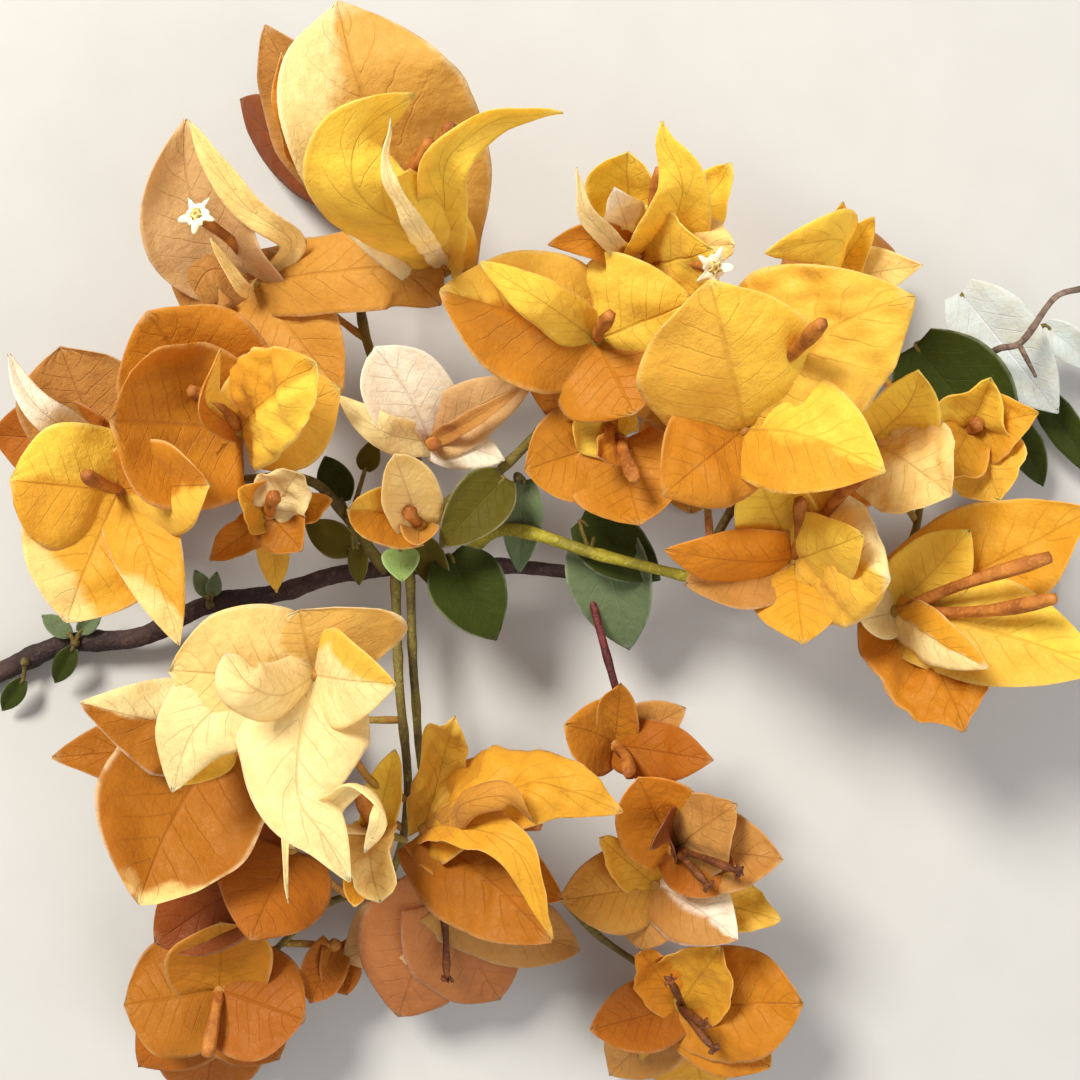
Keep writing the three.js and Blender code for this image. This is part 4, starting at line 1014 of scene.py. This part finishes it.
bloom("bloom_low_middle", "bract_gold", [(-20, -54, 19.4)], (-23, -58, 38), [
    bract(16.6, -54.4, 62, 20, "honey", -20, -60, by=[(-14, -51, 54), (2, -49, 62)], crease=0.7, foot=0.7),
    bract(2.4, -80.4, 60, 24, "copper", 10, -40, -30, 15, crease=0.6),
    bract(-17, -35, 54, 10, "gold", 0, 60, 20, crease=1.2, point=5),
    bract(5, -72, 50, 16, "amber", 0, 30, -20),
    bract(2.4, -80, 66, 9, "honey", 0, 40, by=[(-16, -57, 56), (-5, -62, 66)]),
    bract(-2, -57, 66, 7, "ochre", 0, -90, by=[(-18, -56, 52), (-14, -52.4, 64), (-6, -51.6, 68)], crease=0.5,
        point=4),
], [
    ((-12, -56, 46), (0, -57, 52)),
    ((-14, -58, 44), (-4, -62, 50)),
])
bloom("bloom_tan", "bract_peach", [(-14, -59, 19.8)], (-20, -72, 26), [
    bract(-28.4, -95.4, 16, 29, "tan"),
    bract(-8, -92, 16, 27, "tan"),
    bract(-39, -84, 14, 18, "peach"),
    bract(8, -82, 16, 18, "fawn"),
], [
    ((-19, -77, 27), (-18.6, -88, 29), "withered"),
    ((-13, -73, 30), (-10, -79, 34), "withered"),
])
bloom("bloom_low_right_a", "bract_amber", [(17, -36, 24)], (15, -41, 30), [
    bract(16.2, -28.4, 42, 10, "amber", 0, 50, 20),
    bract(29, -33.6, 36, 12, "fawn", 0, 50, 20),
    bract(34.6, -44, 44, 13, "bronze", 0, -40, -20),
    bract(5, -37, 40, 17, "amber", 0, 40, -20, -20),
], [((17, -43, 36), (18, -47, 43))])
bloom("bloom_low_right_b", "bract_amber", [(22, -54, 24)], (26.6, -62, 34), [
    bract(19.6, -47.4, 48, 19, "orange", 0, 50, 20, point=3),
    bract(39, -53, 48, 18, "fawn", 0, 40, -20, crease=0.7),
    bract(48.6, -64, 46, 18, "fawn", 0, 40, -20, 10, crease=0.7),
    bract(40, -69, 44, 15, "bronze", 0, 40, -20),
    bract(22, -62, 50, 9, "rust", 0, 80, by=[(25, -57, 44)]),
], [
    ((31, -63, 44), (40, -66.4, 52), "withered"),
    ((29, -64, 44), (33.8, -69.2, 50), "withered"),
])
bloom("bloom_low_right_c", "bract_peach", [(23.4, -61, 24)], (23, -69, 28), [
    bract(4, -72, 36, 18, "ochre", 0, -30, -20),
    bract(39.6, -80, 44, 17, "fawn_lit", 0, -40, -30, 15),
    bract(48, -76, 36, 14, "gold", 0, 50, 20, crease=0.9),
    bract(12, -59.6, 42, 10, "honey", 0, 50, 20, crease=0.6),
    bract(40, -66, 2, 22, "tan"),
    bract(20, -82, 30, 16, "fawn"),
])
bloom("bloom_bottom_left", "bract_amber", [(-52.6, -81.6, 14.2)], (-64, -90, 18), [
    bract(-64, -76.6, 32, 23, "amber", 0, 30, 20, point=3),
    bract(-47, -96, 24, 24, "bronze", point=3),
    bract(-83, -93, 22, 26, "copper", point=3),
    bract(-67, -111, 0, 26, "bronze"),
    bract(-52, -104, 14, 20, "bronze"),
    bract(-80, -105, 12, 20, "bronze"),
], [((-65, -95, 24), (-66.6, -103.2, 28))])
bloom("bloom_bud", "bract_amber", [(-51, -80.6, 14.8)], (-41, -81, 14), [
    bract(-46, -92.6, 20, 11, "bronze", 0, 70, 20, point=3),
    bract(-38.6, -91, 16, 10, "bronze", 0, 70, 20, point=3),
])
bloom("bloom_bottom_right", "bract_amber", [(20, -85, 22)], (28, -93, 22), [
    bract(36, -81.6, 36, 19, "honey", 0, 40, 20, crease=0.6),
    bract(52.6, -92.6, 30, 24, "amber", 0, -30, -20, point=3, crease=0.7),
    bract(46, -105.4, 26, 19, "amber", 0, -30, -20, crease=0.5),
    bract(10, -98, 30, 16, "bronze", 0, 40, 20),
    bract(14, -107, 6, 17, "fawn", 0, -30, -20),
    bract(33, -111, 0, 24, "honey"),
    bract(20, -82, 30, 12, "orange", 0, 50, 30, crease=0.8),
], [
    ((29, -94, 30), (33, -97, 37), "withered"),
    ((28, -92, 30), (26, -88, 36), "withered"),
    ((30, -96, 30), (35, -102, 36), "withered"),
])
# The underside: the place on the shoot, the base, then the tips of three bracts and their widths
UNDERSIDE = [
    ("bloom_under_right", (34, 0, 36.6), (32, 28, 24), [(16, 48, 28), (54, 36, 28), (30, 6, 26)]),
    ("bloom_under_left", (-70, 12.6, 33), (-76, 20, 20), [(-96, 28, 26), (-62, 38, 26), (-80, 0, 26)]),
    ("bloom_under_far_right", (70, -6, 27.4), (84, -10, 16), [(102, 2, 24), (96, -26, 26), (70, -24, 22)]),
    ("bloom_under_front", (-27.8, -36, 25.6), (-52, -36, 20), [(-74, -30, 26), (-44, -22, 22), (-52, -58, 26)]),
]
for name, start, base, tips in UNDERSIDE:
    bloom(name, "bract_amber", [start], base, [bract(x, y, 0, width, "amber") for x, y, width in tips])

spray_numbers = itertools.count()


def spray(name, start, leaves):
    """Leaves from one place on a stem. Each is its foot, its tip, its width, its roll and its finish."""
    rng = np.random.default_rng(300 + next(spray_numbers))
    node = seen(start)
    piece = Piece(name + "_looks")
    ball(piece, node, SPRAY_KNOB_RADIUS, "green")
    for foot, tip, width, roll, finish in leaves:
        foot, tip = seen(foot), seen(tip)
        curve = spline([node, foot, foot + (tip - foot) * 0.1], LEAF_STALK_STEP)
        tube(piece, curve, [0.6, 0.45], "green", LEAF_STALK_SIDES)
        form = {"fold": 10, "crease": 0.14, "ruffle": 0.01, "twist": rng.uniform(-8, 8)}
        blade(piece, foot, tip, width, finish, rng, leaf=True, roll=roll, cup=25, curl=-25, **form)
    piece.make("leaf", name)


spray("leaves_centre", (-21, -5.6, 20), [
    ((-18, -3, 25), (-8.8, -20, 27), 17, 0, "leaf_dark"),
    ((-24, 0.4, 25), (-18.4, -10.8, 24), 8, 20, "leaf_olive"),
    ((-28, -1.6, 30), (-27.6, -8.4, 33), 8, 0, "leaf_light"),
])
spray("leaves_upper", (-10, 12.6, 35.8), [
    ((-7, 12.6, 36), (-20, -1.4, 37), 13, 0, "leaf_olive"),
])
spray("leaves_behind", (-4.4, 12.6, 31), [
    ((-3.2, 12, 27), (-4.2, -6.6, 24), 9, 0, "leaf_grey"),
])
spray("leaves_left", (-38, 4, 27), [
    ((-37.6, -2, 26), (-47, 3.4, 26), 8, 0, "leaf_olive"),
    ((-36.6, -1, 26), (-36.2, -9, 24), 4.4, 0, "leaf_olive"),
    ((-39.4, 7.6, 26), (-43, 16.8, 24), 8, 0, "leaf_dark"),
    ((-35, 14, 30), (-33, 20.4, 32), 5, 0, "leaf_olive"),
])
spray("leaves_right", (10, -2.6, 28.6), [
    ((12, 4, 25), (17.8, -22, 17), 19, 10, "leaf_grey"),
    ((8, 4, 27), (24, -8, 25), 14, 0, "leaf_dark"),
])
spray("leaves_far_right", (88.6, 39.4, 16.2), [
    ((75, 39, 24), (94.6, 15, 20), 24, 0, "leaf_dark"),
    ((84, 49.6, 18), (103.6, 25.4, 16), 18, 0, "leaf_pale"),
])
spray("leaves_far_right_low", (86.8, 31, 17), [
    ((95, 24, 10), (100.6, 10.8, 6), 8, 0, "leaf_dark"),
    ((101, 43, 12), (112, 34, 12), 8, 0, "leaf_pale"),
    ((99.6, 30, 9), (112, 12, 6), 8, 0, "leaf_dark"),
])
spray("leaves_foot", (-93, -20.6, 8.6), [
    ((-93.4, -21.6, 9), (-97, -28.6, 6), 5.4, 0, "leaf_dark"),
    ((-94, -19, 9), (-99.6, -15, 8), 4.6, 0, "leaf_grey"),
    ((-92, -18.4, 9), (-87.6, -13.6, 9), 4.6, 0, "leaf_grey"),
])
spray("leaves_cut", (-103, -24.4, 6.8), [
    ((-103.4, -28, 6), (-107.6, -34.2, 4), 5, 0, "leaf_dark"),
])
spray("leaves_sprout", (-66, -12.8, 12), [
    ((-66.6, -11, 12), (-69, -6, 13), 4, 0, "leaf_grey"),
    ((-65.6, -11, 12), (-64.6, -6.4, 14), 3.6, 0, "leaf_grey"),
])


# ---- floor, light and camera

FLOOR_SIZE = 6  # metres, as are the places and sizes of the lamps
FLOOR_TINTS = (0.43, 0.42, 0.4, 1), (0.47, 0.46, 0.44, 1)
FLOOR_GRAIN = 60
SKY_COLOUR = (1.0, 0.98, 0.94, 1)
SKY_STRENGTH = 0.5
LENS = 50
SENSOR = 36
NEAREST = 0.01

n = Nodes("floor")
spot = n.put("ShaderNodeTexCoord").outputs["Object"]
grain = n.noise(spot, FLOOR_GRAIN, 4)
pale = n.mix(grain, *FLOOR_TINTS)
board = n.put("ShaderNodeBsdfPrincipled", Base_Color=pale, Roughness=0.85, Normal=n.bump(grain, 0.05, 0.0005))
bpy.ops.mesh.primitive_plane_add(size=FLOOR_SIZE)
floor = bpy.context.object
floor.name = "floor"
floor.data.materials.append(n.finish(board.outputs[0]))


def lamp(name, place, size, energy, colour):
    data = bpy.data.lights.new(name, "AREA")
    data.shape = "DISK"
    data.size = size
    data.energy = energy
    data.color = colour
    light = bpy.data.objects.new(name, data)
    light.location = place
    light.rotation_euler = (-light.location).to_track_quat("-Z", "Y").to_euler()
    bpy.context.scene.collection.objects.link(light)


lamp("key", (-0.5, 0.6, 0.95), 0.4, 23, (1.0, 0.97, 0.9))
lamp("fill", (0.7, -0.5, 0.8), 0.9, 7, (0.95, 0.97, 1.0))
world = bpy.data.worlds.new("world")
world.use_nodes = True
sky = world.node_tree.nodes["Background"].inputs
sky[0].default_value = SKY_COLOUR
sky[1].default_value = SKY_STRENGTH
bpy.context.scene.world = world

camera_data = bpy.data.cameras.new("camera")
camera_data.lens = LENS
camera_data.sensor_width = SENSOR
camera_data.clip_start = NEAREST
camera = bpy.data.objects.new("camera", camera_data)
camera.location = EYE * METRES
bpy.context.scene.collection.objects.link(camera)
bpy.context.scene.camera = camera
bpy.context.scene.view_settings.view_transform = "Standard"
